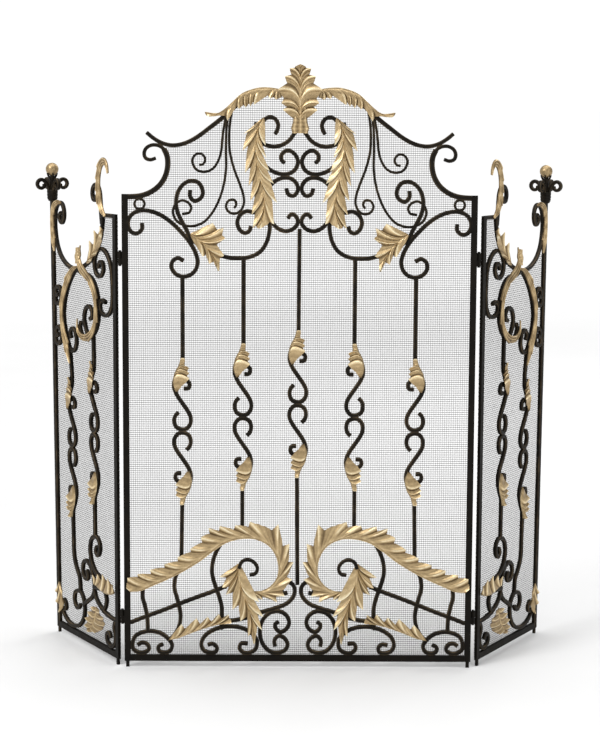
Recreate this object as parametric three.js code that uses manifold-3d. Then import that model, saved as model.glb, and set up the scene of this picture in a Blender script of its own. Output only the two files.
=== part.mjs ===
// Three-fold wrought-iron fireplace screen: a fixed centre panel with a wing hinged on each side.
// Millimetres. X runs across the screen, Y runs from the front to the back, Z is up.
// The origin is on the floor, in the middle of the screen's footprint.
import * as THREE from 'three';
import { mergeVertices } from 'three/addons/utils/BufferGeometryUtils.js';
import Module from 'manifold-3d';

const wasm = await Module();
wasm.setup();

// ---- Driving dimensions -------------------------------------------------------------------------
const PANEL_WIDTH = 686; // centre panel over its posts
const POST_HEIGHT = 924; // centre posts, above the rail's lower edge
const WING_POST_HEIGHT = 884; // a wing's hinge-side post
const FOOT_HEIGHT = 12; // every rail hangs this far above the floor
const FOOT_WIDTH = 6.5;
const FRAME_WIDTH = 12; // posts and rails, seen from the front
const FRAME_DEPTH = 8; // posts, rails and scroll bars, front to back
const HINGE_POST_DEPTH = 6; // the thinner flat bar that carries a wing's hinges
const SCROLL_BAR = 7.6; // square bar of the scrolls and balusters
const FLAT_BAR = 10; // the wider bar of the crest
const HORN_BAR = 8.4;
const CURL_BAR = 6.6; // the drawn-out end of a crest bar
const WHISKER_BAR = 4.6;
const RING_RADIUS = 9.8;
const RING_BAR = 4.6;
const GAP = 0.3; // between pieces that touch
const MESH_THICKNESS = 1;
const MESH_TUCK = 4; // how far the mesh stops inside a frame's outer edge
const MESH_FOOT = 3; // the mesh's lower edge, above the rail's
const WING_MESH_CORNER = 790; // where a wing's mesh leaves its outer post for the U bar
const WING_SLOT = { near: 283, far: 294, foot: 642, top: 686 }; // a gap in a wing's mesh, between rosettes
const LEAF_THICKNESS = 4.5;
const WING_ANGLE = 60; // degrees each wing is folded back from the centre panel's plane
const WING_START = 350.3; // where a wing's front plane meets the centre panel's front plane
const WING_POST_NEAR = 12.9; // along a wing, to its hinge-side post
const WING_WIDTH = 312; // along a wing, to the far side of its outer post at the rail
const WING_LEAN = 13; // how much farther out the outer post stands at its top
const OUTER_POST_HEIGHT = 897;
const BALL_RADIUS = 12.8;
const BALL_HEIGHT = 958;
const HINGE_HEIGHTS = [800, 89];
const HINGE_LENGTH = 26;
const KNUCKLE_RADIUS = 3.8;
const PIN_RADIUS = 1.7;
const PIN_HEAD_RADIUS = 2.8;
const PIN_HEAD_HEIGHT = 2;
const HINGE_AXIS = [347.2, 8]; // x and y of the right-hand hinge pins
const WELD = 1.2; // how deep a welded piece runs into the next
const BEAD = 4; // half the size of a weld bead between two bars
const MAX_SAG = 1.6; // how far a facet of a bent bar may cut inside its true curve

// ---- Materials ----------------------------------------------------------------------------------
const iron = new THREE.MeshStandardMaterial({ color: 0x2b2621, roughness: 0.55, metalness: 0.75 });
const gold = new THREE.MeshStandardMaterial({ color: 0xc2a26a, roughness: 0.45, metalness: 0.6 });
const steelMesh = new THREE.MeshStandardMaterial({ color: 0x6d6b67, roughness: 0.6, metalness: 0.8 });

// ---- Solids -------------------------------------------------------------------------------------
function toManifold(geometry) {
  const bare = geometry.clone();
  bare.deleteAttribute('normal');
  bare.deleteAttribute('uv');
  const merged = mergeVertices(bare, 1e-4);
  const vertProperties = merged.attributes.position.array;
  const triVerts = new Uint32Array(merged.index.array);
  const solid = new wasm.Manifold(new wasm.Mesh({ numProp: 3, vertProperties, triVerts }));
  if (solid.volume() > 0) return solid;
  for (let i = 0; i < triVerts.length; i += 3) {
    [triVerts[i + 1], triVerts[i + 2]] = [triVerts[i + 2], triVerts[i + 1]];
  }
  return new wasm.Manifold(new wasm.Mesh({ numProp: 3, vertProperties, triVerts }));
}

function toGeometry(solid) {
  const { vertProperties, triVerts } = solid.getMesh();
  const geometry = new THREE.BufferGeometry();
  geometry.setAttribute('position', new THREE.BufferAttribute(new Float32Array(vertProperties), 3));
  geometry.setIndex(new THREE.BufferAttribute(new Uint32Array(triVerts), 1));
  const flat = geometry.toNonIndexed();
  flat.computeVertexNormals();
  return flat;
}

function weld(solids) {
  return solids.reduce((whole, solid) => whole.add(solid));
}

// The largest connected part, so that slivers left by a cut are dropped.
function mainBody(solid) {
  const bodies = solid.decompose();
  return bodies.reduce((best, body) => (body.volume() > best.volume() ? body : best));
}

function box(x0, x1, y0, y1, z0, z1) {
  const geometry = new THREE.BoxGeometry(x1 - x0, y1 - y0, z1 - z0);
  geometry.translate((x0 + x1) / 2, (y0 + y1) / 2, (z0 + z1) / 2);
  return toManifold(geometry);
}

function uprightCylinder(radius, x, y, z0, z1, sides = 10) {
  const geometry = new THREE.CylinderGeometry(radius, radius, z1 - z0, sides);
  geometry.rotateX(Math.PI / 2);
  geometry.translate(x, y, (z0 + z1) / 2);
  return toManifold(geometry);
}

// An outline in the panel's plane, [along, up], made into a plate from y0 back to y1.
function plate(outline, y0, y1) {
  const shape = new THREE.Shape(outline.map(([u, z]) => new THREE.Vector2(u, z)));
  const geometry = new THREE.ExtrudeGeometry(shape, { depth: y1 - y0, bevelEnabled: false });
  geometry.rotateX(Math.PI / 2);
  geometry.translate(0, y1, 0);
  return toManifold(geometry);
}

// A smooth line through hand-set points, sampled so that no chord cuts in by more than MAX_SAG.
function bend(points) {
  const curve = new THREE.CatmullRomCurve3(
    points.map(([u, z]) => new THREE.Vector3(u, z, 0)), false, 'centripetal');
  const fine = curve.getPoints(points.length * 10);
  const kept = [fine[0]];
  let turned = 0;
  for (let i = 1; i < fine.length - 1; i += 1) {
    const before = fine[i].clone().sub(fine[i - 1]);
    const after = fine[i + 1].clone().sub(fine[i]);
    turned += before.angleTo(after);
    const sag = (turned * fine[i].distanceTo(kept.at(-1))) / 8;
    if (sag >= MAX_SAG) {
      kept.push(fine[i]);
      turned = 0;
    }
  }
  kept.push(fine.at(-1));
  return kept;
}

// The two edges of a band along a line, as one closed outline.
function band(line, halfWidths) {
  const left = [];
  const right = [];
  line.forEach((point, i) => {
    const ahead = line[Math.min(i + 1, line.length - 1)].clone().sub(point).normalize();
    const behind = point.clone().sub(line[Math.max(i - 1, 0)]).normalize();
    const along = ahead.clone().add(behind).normalize();
    const mitre = 1 / Math.max(0.8, Math.max(ahead.dot(along), behind.dot(along)));
    const [near, far] = halfWidths(i / (line.length - 1));
    left.push([point.x - along.y * near * mitre, point.y + along.x * near * mitre]);
    right.push([point.x + along.y * far * mitre, point.y - along.x * far * mitre]);
  });
  return [...left, ...right.reverse()];
}

// A bar of rectangular section bent along the points, flush with the panel's front.
function bar(points, width = SCROLL_BAR, y0 = 0, y1 = FRAME_DEPTH) {
  return plate(band(bend(points), () => [width / 2, width / 2]), y0, y1);
}

function bars(list, width = SCROLL_BAR) {
  return list.map((points) => bar(points, width));
}

// The same bars, fatter by the gap, for cutting a neighbour clear of them.
function clearance(list, width = SCROLL_BAR) {
  return weld(list.map((points) => bar(points, width + 2 * GAP, -1, FRAME_DEPTH + 1)));
}

function ring([u, z]) {
  const outer = RING_RADIUS + RING_BAR / 2;
  const inner = RING_RADIUS - RING_BAR / 2;
  const profile = [[inner, 0], [outer, 0], [outer, FRAME_DEPTH], [inner, FRAME_DEPTH], [inner, 0]];
  const geometry = new THREE.LatheGeometry(profile.map(([r, y]) => new THREE.Vector2(r, y)), 12);
  geometry.translate(u, 0, z);
  return toManifold(geometry);
}

// A leaf blade along a spine: widths at its ends and middle, with teeth along both edges.
function leaf({ spine, widths: [start, middle, end], teeth = 5, layer = 0, back = 0 }) {
  const samples = teeth * 2;
  const curve = new THREE.CatmullRomCurve3(
    spine.map(([u, z]) => new THREE.Vector3(u, z, 0)), false, 'centripetal');
  const line = curve.getSpacedPoints(samples);
  const y1 = back || -GAP - layer * (LEAF_THICKNESS + GAP);
  const halfWidth = (t) => {
    const swell = start + (end - start) * t + (middle - (start + end) / 2) * Math.sin(Math.PI * t);
    const tooth = Math.round(t * samples) % 2 ? 1 : 0.74;
    return [swell * tooth, swell * tooth];
  };
  return plate(band(line, halfWidth), y1 - LEAF_THICKNESS, y1);
}

// ---- Nodes --------------------------------------------------------------------------------------
const group = new THREE.Group();
const panel = new THREE.Group();
panel.position.z = FOOT_HEIGHT;
group.add(panel);

function addNode(parent, name, solid, material) {
  const mesh = new THREE.Mesh(toGeometry(mainBody(solid)), material.clone());
  mesh.name = name;
  parent.add(mesh);
  return mesh;
}

// A left-hand piece and its mirror image on the right.
function addPair(parent, name, solid, material) {
  addNode(parent, `${name}_left`, solid, material);
  addNode(parent, `${name}_right`, solid, material).scale.x = -1;
}

// ---- Centre panel: lines of the left half, [across, above the rail's lower edge] ----------------
const half = PANEL_WIDTH / 2;
const postCentre = half - FRAME_WIDTH / 2;
const meshFront = FRAME_DEPTH + GAP;

const shoulderBar = [
  [-342, 919], [-325, 919], [-306, 921], [-287, 928], [-270, 941], [-259, 958], [-254, 978],
  [-255, 997], [-261, 1011],
];
const shoulderCurl = [
  [-257, 1000], [-262, 1011], [-271, 1017], [-284, 1018], [-295, 1012], [-299, 1002],
  [-296, 993], [-287, 990], [-277, 993],
];
const hornBar = [
  [-294, 1042], [-282, 1032], [-267, 1023], [-249, 1018], [-231, 1019], [-213, 1025],
  [-194, 1036], [-174, 1051], [-157, 1064], [-140, 1078], [-124, 1093], [-105, 1107],
  [-84, 1115], [-58, 1118], [-30, 1117], [-GAP / 2, 1113],
];
const whiskers = [
  [
    [-140, 1079], [-145, 1058], [-149, 1030], [-151, 1008], [-157, 988], [-168, 973], [-184, 967],
    [-198, 971], [-205, 981], [-206, 992], [-199, 1001], [-188, 1001], [-182, 992], [-185, 983],
    [-193, 980],
  ],
  [
    [-137, 1082], [-141, 1050], [-142, 1010], [-142, 972], [-147, 940], [-156, 912], [-169, 888],
    [-186, 870], [-206, 863], [-224, 865], [-238, 874], [-244, 889], [-240, 904], [-228, 912],
    [-216, 909], [-209, 899], [-213, 889], [-226, 886],
  ],
  [
    [-130, 1088], [-134, 1062], [-136, 1030], [-134, 1003], [-126, 972], [-115, 943], [-108, 920],
    [-108, 905], [-115, 892], [-127, 887], [-138, 892], [-142, 902], [-137, 912], [-127, 914],
    [-122, 906], [-126, 898],
  ],
];
const thickSpiral = [
  [-211, 932], [-211, 920], [-204, 912], [-194, 914], [-187, 923], [-188, 936], [-196, 947],
  [-210, 950], [-224, 943], [-234, 929], [-238, 909], [-235, 889], [-226, 870], [-216, 851],
  [-207, 828],
];
const shoulderScroll = [
  [-304, 868], [-304, 857], [-312, 849], [-323, 850], [-330, 860], [-330, 874], [-322, 886],
  [-308, 892], [-291, 892], [-270, 885], [-250, 872], [-230, 853], [-213, 833], [-202, 814],
  [-197, 796], [-200, 780], [-210, 769], [-225, 765], [-239, 770], [-247, 782], [-245, 795],
  [-235, 801], [-224, 796],
];
const ringCentre = [-308.5, 905.2];
const hangerBar = [
  [-58, 877], [-58, 856], [-63, 834], [-74, 816], [-92, 805], [-116, 801], [-140, 803],
  [-166, 811], [-190, 825], [-206, 835],
];
const hangerHook = [
  [-68, 894], [-86, 890], [-103, 892], [-115, 884], [-120, 871], [-116, 857], [-106, 850], [-97, 854],
  [-94, 863],
];
const heartScroll = [
  [-63, 890], [-54, 872], [-43, 860], [-28, 854], [-13, 858], [-4, 869], [-6, 881], [-15, 887],
  [-23, 879],
];
const crownHook = [
  [-80, 1050], [-72, 1064], [-60, 1072], [-48, 1069], [-42, 1058], [-44, 1047], [-48, 1040],
];
const crownArc = [
  [-3, 1051], [-11, 1041], [-20, 1029], [-33, 1020], [-49, 1016], [-65, 1019], [-88, 1032],
];
const crownUpper = [
  [-84, 1000], [-72, 984], [-56, 971], [-38, 964], [-20, 965], [-8, 974], [-4, 989], [-11, 1003],
  [-24, 1009], [-35, 1001], [-35, 990], [-29, 985],
];
const crownLower = [
  [-74, 925], [-60, 938], [-49, 949], [-34, 956], [-17, 955], [-6, 945], [-4, 932], [-12, 922],
  [-22, 925], [-26, 936],
];
const crownStem = [
  [-84, 1062], [-88, 1030], [-86, 990], [-78, 945], [-72, 910], [-64, 884], [-58, 866],
];

// ---- Centre panel: foot of the left half ---------------------------------------------------------
const railTop = FRAME_WIDTH;
const latticeDiagonal = [
  [-333, 77], [-300, 90], [-268, 102], [-236, 115], [-200, 129], [-165, 142], [-141, 152],
];
const latticeUprights = [
  [[-305, 150], [-307, 131], [-302, 110], [-298, 90], [-297, 74], [-297, 58]],
  [
    [-234, 188], [-242, 168], [-244, 148], [-239, 128], [-234, 108], [-232, 90], [-235, 70],
    [-245, 51], [-255, 42],
  ],
  [
    [-152, 238], [-163, 217], [-169, 195], [-169, 174], [-163, 152], [-156, 132], [-151, 112],
    [-150, 92], [-152, 64],
  ],
];
const baseScrollOuter = [
  [-317, 32], [-307, 37], [-297, 32], [-295, 23], [-303, 17], [-316, 17], [-327, 24], [-329, 36],
  [-323, 49], [-309, 57], [-291, 60], [-272, 56], [-257, 45], [-249, 32], [-253, 20], [-263, 16.5],
  [-274, 19], [-276, 28], [-267, 34],
];
const baseScrollInner = [
  [-178, 33], [-167, 34], [-160, 26], [-163, 18], [-174, 16.5], [-186, 21], [-191, 33], [-186, 48],
  [-172, 60], [-152, 68], [-130, 70], [-108, 66], [-91, 56], [-81, 41], [-83, 25], [-94, 17],
  [-107, 17], [-115, 25], [-112, 35], [-99, 35],
];
const footScroll = [
  [-45, 30], [-46, 42], [-38, 51], [-27, 47], [-20, 34], [-25, 22], [-39, 17], [-54, 19],
  [-67, 31], [-74, 49], [-74, 69], [-67, 87], [-53, 99], [-36, 101], [-22, 92], [-17, 78],
  [-22, 66], [-34, 59], [-43, 66], [-45, 74], [-38, 80],
];
const footArm = [
  [-152, 77], [-135, 81], [-105, 87], [-76, 98], [-46, 107], [-22, 117], [-9, 131], [-6, 144],
  [-10, 155], [-20, 161], [-30, 157], [-33, 147], [-29, 138], [-21, 139],
];
const curlHook = [[-116, 190], [-111, 203], [-99, 208], [-86, 202], [-80, 191], [-84, 180], [-95, 177]];

// ---- The twisted motif of a baluster, about the point where its two hooks touch -------------------
const MOTIF_REACH = 141;
const motifBar = [
  [1, MOTIF_REACH + 6], [0, MOTIF_REACH - 10], [-8, 116], [-15, 101], [-16, 86], [-11, 72],
  [-2, 58], [9, 42], [15.5, 29], [15.5, 15], [8, 5], [-2, 3.4], [-12, 8], [-16, 19],
  [-14, 30], [-8, 37],
];
const motifCurl = [[-15, 93], [-7, 101], [5, 102], [14, 94], [12, 85], [3, 84]];
const motifCuff = {
  spine: [[1, MOTIF_REACH + 5], [-2, 124], [-9, 105], [-13, 90], [-13, 74]],
  widths: [2, 15, 3],
  teeth: 3,
  back: WELD,
};

function pointTurned(points) {
  return points.map(([u, z]) => [-u, -z]);
}

// One baluster: a rod down to the motif, the motif's two halves, and a rod on down to the foot.
function balusterLines({ top, cross, foot, mirrored }) {
  const sign = mirrored ? -1 : 1;
  const place = (points) => points.map(([u, z]) => [cross[0] + sign * u, cross[1] + z]);
  return {
    cross,
    bars: [
      [top, place(motifBar)[0]],
      place(motifBar),
      place(motifCurl),
      place(pointTurned(motifBar)),
      place(pointTurned(motifCurl)),
      [place(pointTurned(motifBar))[0], ...foot],
    ],
    cuffs: [place(motifCuff.spine), place(pointTurned(motifCuff.spine))],
  };
}

function baluster(lines, cut = []) {
  const cuffs = lines.cuffs.map((spine) => leaf({ ...motifCuff, spine }));
  const [u, z] = lines.cross;
  const bead = box(u - BEAD, u + BEAD, 1, FRAME_DEPTH - 1, z - BEAD, z + BEAD);
  const whole = weld([...bars(lines.bars), ...cuffs, bead]);
  return cut.reduce((solid, cutter) => solid.subtract(cutter), whole);
}

// ---- Centre panel: building it -------------------------------------------------------------------
function footPeg(x) {
  const spread = FOOT_WIDTH / 2;
  return box(x - spread, x + spread, 1, FRAME_DEPTH - 1, -FOOT_HEIGHT, WELD);
}

function knuckle(z0, z1, toX) {
  const [x, y] = HINGE_AXIS;
  const barrel = uprightCylinder(KNUCKLE_RADIUS, x, y, z0, z1);
  const strap = box(Math.min(x, toX), Math.max(x, toX), y - KNUCKLE_RADIUS + 0.4, y - 0.5, z0, z1);
  return barrel.add(strap);
}

function pinHole(z) {
  const reach = HINGE_LENGTH / 2 + 1;
  return uprightCylinder(PIN_RADIUS + GAP, ...HINGE_AXIS, z - reach, z + reach);
}

function centrePost() {
  const post = box(half - FRAME_WIDTH, half, 0, FRAME_DEPTH, 0, POST_HEIGHT);
  const knuckles = HINGE_HEIGHTS.map((z) => knuckle(z - HINGE_LENGTH / 2, z - GAP / 2, half - WELD));
  return HINGE_HEIGHTS.reduce((solid, z) => solid.subtract(pinHole(z)),
    weld([post, footPeg(postCentre), ...knuckles]));
}

function hingePin(z) {
  const reach = HINGE_LENGTH / 2 + GAP;
  const [x, y] = HINGE_AXIS;
  return weld([
    uprightCylinder(PIN_RADIUS, x, y, z - reach - WELD, z + reach + WELD, 8),
    uprightCylinder(PIN_HEAD_RADIUS, x, y, z + reach, z + reach + PIN_HEAD_HEIGHT, 8),
    uprightCylinder(PIN_HEAD_RADIUS, x, y, z - reach - PIN_HEAD_HEIGHT, z - reach, 8),
  ]);
}

function centreFrame() {
  const post = centrePost();
  addNode(panel, 'post_right', post, iron);
  addNode(panel, 'post_left', post, iron).scale.x = -1;
  const reach = half - FRAME_WIDTH - GAP;
  addNode(panel, 'bottom_rail', box(-reach, reach, 0, FRAME_DEPTH, 0, railTop), iron);
  const inner = -half + FRAME_WIDTH + GAP;
  const postCutter = box(-half - 1, inner, -1, FRAME_DEPTH + 1, -1, POST_HEIGHT + GAP);
  const crestCut = [...bars([shoulderBar], FLAT_BAR), ...bars([shoulderCurl], CURL_BAR),
    ...bars([hornBar], HORN_BAR)];
  const bead = box(-273, -263, 1, FRAME_DEPTH - 1, 1013, 1022);
  const left = weld([...crestCut, bead]).subtract(postCutter);
  const right = left.mirror([1, 0, 0]);
  const joint = box(-BEAD, BEAD, 0.5, FRAME_DEPTH - 0.5, 1111, 1116);
  addNode(panel, 'crest', weld([left, right, joint]), iron);
  return postCutter;
}

const postCutter = centreFrame();
const crestCutter = weld([
  clearance([shoulderBar], FLAT_BAR), clearance([shoulderCurl], CURL_BAR), clearance([hornBar], HORN_BAR),
]);
const railCutter = box(-half, half, -1, FRAME_DEPTH + 1, -1, railTop + GAP);

// Whiskers, thick spiral, S-scroll and ring, welded together under one shoulder.
const shoulderLines = [thickSpiral, shoulderScroll];
const whiskerBead = box(-145, -131, 1, FRAME_DEPTH - 1, 1062, 1068);
const shoulderScrolls = weld([
  ...bars(shoulderLines), ...bars(whiskers, WHISKER_BAR), ring(ringCentre), whiskerBead,
])
  .subtract(crestCutter)
  .subtract(postCutter);
addPair(panel, 'shoulder_scrolls', shoulderScrolls, iron);
const shoulderCutter = weld([clearance(shoulderLines), clearance(whiskers, WHISKER_BAR)]);

// Scrolls of the crown, left and right welded on the centre line.
const crownLines = [
  hangerBar, hangerHook, heartScroll, crownHook, crownArc, crownUpper, crownLower, crownStem,
];
const crownLeft = weld(bars(crownLines)).subtract(shoulderCutter).subtract(crestCutter);
const centreBeads = (heights) => heights.map(
  (z) => box(-BEAD, BEAD, 1, FRAME_DEPTH - 1, z - BEAD, z + BEAD));
const crownScrolls = weld([crownLeft, crownLeft.mirror([1, 0, 0]), ...centreBeads([869, 938, 989])]);
addNode(panel, 'crown_scrolls', crownScrolls, iron);

// Scrolls at the foot of the panel.
const lowerLines = [latticeDiagonal, ...latticeUprights, baseScrollOuter, baseScrollInner];
const footLines = [footScroll, footArm];
const footLeft = weld(bars(footLines)).subtract(railCutter);
const footScrolls = weld([footLeft, footLeft.mirror([1, 0, 0]), ...centreBeads([143])]);
addNode(panel, 'foot_scrolls', footScrolls, iron);
const footCutter = clearance(footLines);
const lowerScrolls = weld(bars(lowerLines))
  .subtract(postCutter)
  .subtract(railCutter)
  .subtract(footCutter);
addPair(panel, 'lower_scrolls', lowerScrolls, iron);
const lowerCutter = weld([clearance(lowerLines), footCutter]);

// Five balusters, each cut clear of the scrolls that it meets above and below.
const crownCutter = clearance(crownLines);
const bothSides = (cutter) => cutter.add(cutter.mirror([1, 0, 0]));
const balusterCuts = [shoulderCutter, crownCutter, lowerCutter].map(bothSides);
const balusters = [
  { top: [-226, 764], cross: [-227, 462], foot: [[-230, 196]], mirrored: false },
  { top: [-108, 800], cross: [-109, 491], foot: [[-110, 254]], mirrored: false },
  { top: [0, 858], cross: [-2, 517], foot: [[-1, 156]], mirrored: false },
  { top: [108, 800], cross: [109, 491], foot: [[110, 254]], mirrored: true },
  { top: [226, 764], cross: [227, 462], foot: [[230, 196]], mirrored: true },
];
balusters.forEach((one, i) => {
  addNode(panel, `baluster_${i + 1}`, baluster(balusterLines(one), balusterCuts), iron);
});

// ---- Centre panel: leaves ------------------------------------------------------------------------
const finialHalf = [
  [0, 1043], [-9, 1045], [-17, 1051], [-12, 1062], [-13, 1076], [-19, 1083], [-31, 1088],
  [-25, 1094], [-35, 1099], [-30, 1106], [-40, 1116], [-42, 1128], [-22, 1137], [-28, 1149],
  [-17, 1153], [-21, 1164], [-9, 1166], [0, 1172],
];
const finialOutline = [...finialHalf, ...finialHalf.slice(1, -1).reverse().map(([u, z]) => [-u, z])];
const finialFront = -GAP - 2 * (LEAF_THICKNESS + GAP);
addNode(panel, 'finial_leaf', plate(finialOutline, finialFront, finialFront + LEAF_THICKNESS), gold);

const centreLeaves = {
  arch_leaf: {
    spine: [[-176, 1075], [-158, 1074], [-138, 1081], [-118, 1099], [-95, 1113], [-68, 1119], [-34, 1118]],
    widths: [3, 12, 9], teeth: 7,
  },
  pendant_leaf: {
    spine: [[-72, 1069], [-87, 1048], [-88, 1016], [-84, 985], [-77, 950], [-70, 915], [-68, 872]],
    widths: [5, 22, 14], teeth: 8,
  },
  fan_leaf: {
    spine: [[-211, 848], [-192, 838], [-172, 826], [-150, 815]], widths: [4, 36, 22], teeth: 4,
  },
  acanthus_leaf: {
    spine: [
      [-334, 158], [-310, 158], [-280, 168], [-240, 188], [-202, 213], [-170, 240], [-140, 256],
      [-105, 263], [-76, 258], [-50, 242], [-34, 218], [-28, 190], [-33, 166], [-50, 147], [-75, 138],
    ],
    widths: [10, 17, 8], teeth: 15,
  },
  curl_leaf: {
    spine: [[-117, 199], [-118, 176], [-112, 148], [-104, 122], [-96, 92], [-87, 46]],
    widths: [5, 27, 3], teeth: 6, layer: 1,
  },
  sprig_leaf: {
    spine: [[-252, 42], [-230, 52], [-200, 68], [-170, 80], [-134, 87]], widths: [3, 14, 6], teeth: 6,
  },
};
const hookSolid = bar(curlHook, CURL_BAR, -FRAME_DEPTH - 2, -LEAF_THICKNESS - 2 * GAP);
Object.entries(centreLeaves).forEach(([name, shape]) => {
  const blade = name === 'curl_leaf' ? leaf(shape).add(hookSolid) : leaf(shape);
  addPair(panel, name, blade, gold);
});

// ---- Centre panel: wire mesh ---------------------------------------------------------------------
const meshSide = -half + MESH_TUCK;
const meshEdge = [
  [meshSide, MESH_FOOT], [meshSide, 915], ...shoulderBar.slice(2), [-258, 1014], ...hornBar.slice(4, -1),
];
const meshOutline = [...meshEdge, [0, 1116], ...meshEdge.map(([u, z]) => [-u, z]).reverse()];
addNode(panel, 'mesh_centre', plate(meshOutline, meshFront, meshFront + MESH_THICKNESS), steelMesh);

// ---- Wings: lines of the right wing, [along it from its hinge end, above the rail's lower edge] ---
const outerPostFoot = WING_WIDTH - FRAME_WIDTH / 2;
const leanAt = (z) => (WING_LEAN * z) / OUTER_POST_HEIGHT;
const topRail = [[WING_POST_NEAR + 3, 880], [76, 879]];
const uBar = [
  [75, 882], [78, 858], [88, 832], [106, 808], [130, 789], [160, 774], [195, 765], [230, 764],
  [258, 772], [280, 786], [295, 805], [303, 828], [306, 850], [303, 872], [294, 886], [281, 892],
  [268, 888], [261, 876], [262, 861], [271, 852], [281, 856], [283, 866], [275, 872],
];
const crestCurl = [
  [80, 862], [84, 890], [90, 925], [102, 937], [115, 934], [123, 922], [119, 909], [108, 907],
  [104, 916],
];
const hingeScroll = [
  [98, 774], [91, 785], [79, 785], [75, 773], [83, 761], [97, 757], [110, 764], [116, 779],
  [112, 796], [97, 810], [77, 812], [56, 802], [41, 782], [35, 756], [34, 722], [38, 701],
  [50, 687], [70, 682], [87, 688], [91.5, 700], [81, 711], [66, 708],
];
const hoopNear = [
  [198, 765], [178, 757], [152, 756], [125, 747], [107, 728], [98, 702], [98, 680], [106, 657],
  [122, 640], [142, 630], [163, 627], [180, 634], [187, 648], [182, 658],
];
const hoopFar = [
  [196, 766], [212, 757], [230, 741], [249, 717], [262, 691], [267, 665], [262, 640], [250, 615],
  [239, 595], [234, 566],
];
const hoopSpiral = [
  [146, 630], [160, 648], [167, 668], [159, 687], [144, 693], [131, 686], [129, 674], [139, 668],
];
const strandHook = [
  [240, 598], [222, 594], [209, 604], [206, 621], [213, 636], [226, 640], [236, 630], [231, 620],
];
const rosette = [
  [308, 700], [304, 686], [293, 684], [282, 692], [279, 705], [285, 717], [297, 719], [305, 710],
  [300, 701], [291, 704],
];
const rosetteStub = [[279, 705], [268, 690], [262, 680]];
const ROSETTE_DROP = -83; // the second rosette stands this far below the first
const lowerRosetteStub = [[279, 622], [268, 634], [260, 642]];
const wingBalusters = [
  { top: [124, 638], cross: [124, 440], foot: [[124, 226]], mirrored: true },
  {
    top: [234, 570],
    cross: [231, 394],
    foot: [[230, 205], [227, 165], [214, 142], [202, 127], [198, 100]],
    mirrored: true,
  },
];
const caneScroll = [
  [117, 208], [122, 198], [113, 191], [103, 199], [102, 214], [112, 226], [128, 227], [143, 217],
  [149, 199], [146, 181], [134, 163], [117, 152], [96, 147],
];
const kneeScroll = [
  [166, 149], [158, 140], [164, 131], [178, 133], [186, 147], [181, 162], [168, 169], [153, 165],
  [139, 151], [131, 133], [131, 112], [141, 98], [158, 88], [179, 76],
];
const kneeStem = [[146, 181], [142, 165], [139, 151]];
const railTail = [[131, 118], [121, 101], [101, 88], [78, 80], [50, 76], [20, 75]];
const boxScroll = [[133, 122], [106, 124], [82, 124], [72, 109], [76, 94], [86, 84]];
const bowlScroll = [
  [199, 70], [206, 62], [219, 62], [228, 74], [225, 89], [211, 97], [196, 97], [184, 87],
  [178, 72], [179, 54], [189, 37], [207, 24], [232, 18], [257, 20], [280, 31], [298, 50],
];
const bowlHook = [[296, 47], [290, 58], [280, 62], [271, 55], [272, 45], [281, 42]];
const cornerScroll = [
  [30, 74], [38, 60], [32, 44], [33, 28], [44, 18.5], [59, 18], [71, 26], [71, 38], [60, 43],
  [53, 34],
];

function wingFrame(wing, side) {
  const near = WING_POST_NEAR;
  const [hingeU, hingeV] = wingHinge();
  const toWing = (solid) => solid.translate([hingeU - HINGE_AXIS[0], hingeV - HINGE_AXIS[1], 0]);
  const knuckles = HINGE_HEIGHTS.map((z) => {
    const [x, y] = HINGE_AXIS;
    const barrel = uprightCylinder(KNUCKLE_RADIUS, x, y, z + GAP / 2, z + HINGE_LENGTH / 2);
    const strapEnd = x + near - hingeU + WELD;
    const strapTop = z + HINGE_LENGTH / 2;
    const strap = box(x, strapEnd, y - KNUCKLE_RADIUS + 0.4, y - 1.2, z + GAP / 2, strapTop);
    return toWing(barrel.add(strap).subtract(pinHole(z)));
  });
  const spread = FOOT_WIDTH / 2;
  const middle = near + FRAME_WIDTH / 2;
  const peg = box(middle - spread, middle + spread, 0.5, HINGE_POST_DEPTH - 0.5, -FOOT_HEIGHT, WELD);
  const innerPost = box(near, near + FRAME_WIDTH, 0, HINGE_POST_DEPTH, 0, WING_POST_HEIGHT);
  addNode(wing, `${side}_hinge_post`, weld([innerPost, peg, ...knuckles]), iron);
  const railStart = near + FRAME_WIDTH + GAP;
  const railEnd = outerPostFoot - FRAME_WIDTH / 2 - GAP;
  addNode(wing, `${side}_bottom_rail`, box(railStart, railEnd, 0, FRAME_DEPTH, 0, railTop), iron);
}

// Where the pins stand in a wing's own frame.
function wingHinge() {
  const angle = THREE.MathUtils.degToRad(WING_ANGLE);
  const dx = HINGE_AXIS[0] - WING_START;
  const dy = HINGE_AXIS[1];
  const [cos, sin] = [Math.cos(angle), Math.sin(angle)];
  return [dx * cos + dy * sin, dy * cos - dx * sin];
}

function leaningPost(width, z0, z1, y0 = 0, y1 = FRAME_DEPTH) {
  const edge = (z, sign) => [outerPostFoot + leanAt(z) + (sign * width) / 2, z];
  return plate([edge(z0, -1), edge(z0, 1), edge(z1, 1), edge(z1, -1)], y0, y1);
}

// Four scrolls around the head of the outer post, and the collar under the ball.
function fleur() {
  const head = outerPostFoot + leanAt(OUTER_POST_HEIGHT);
  const scroll = [
    [1, 0], [5, 12], [9, 26], [16, 38], [25, 41], [32, 33], [27, 24], [20, 27],
  ].map(([u, z]) => [u, z + OUTER_POST_HEIGHT]);
  const one = plate(band(bend(scroll), () => [3, 3]), -3.5, 3.5);
  const four = [0, 90, 180, 270].map((turn) => one.rotate([0, 0, turn]));
  const core = uprightCylinder(5, 0, 0, OUTER_POST_HEIGHT - WELD, OUTER_POST_HEIGHT + 40, 8);
  const top = uprightCylinder(7, 0, 0, OUTER_POST_HEIGHT + 39, BALL_HEIGHT - BALL_RADIUS - GAP, 8);
  return weld([...four, core, top]).translate([head, FRAME_DEPTH / 2, 0]);
}

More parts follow.
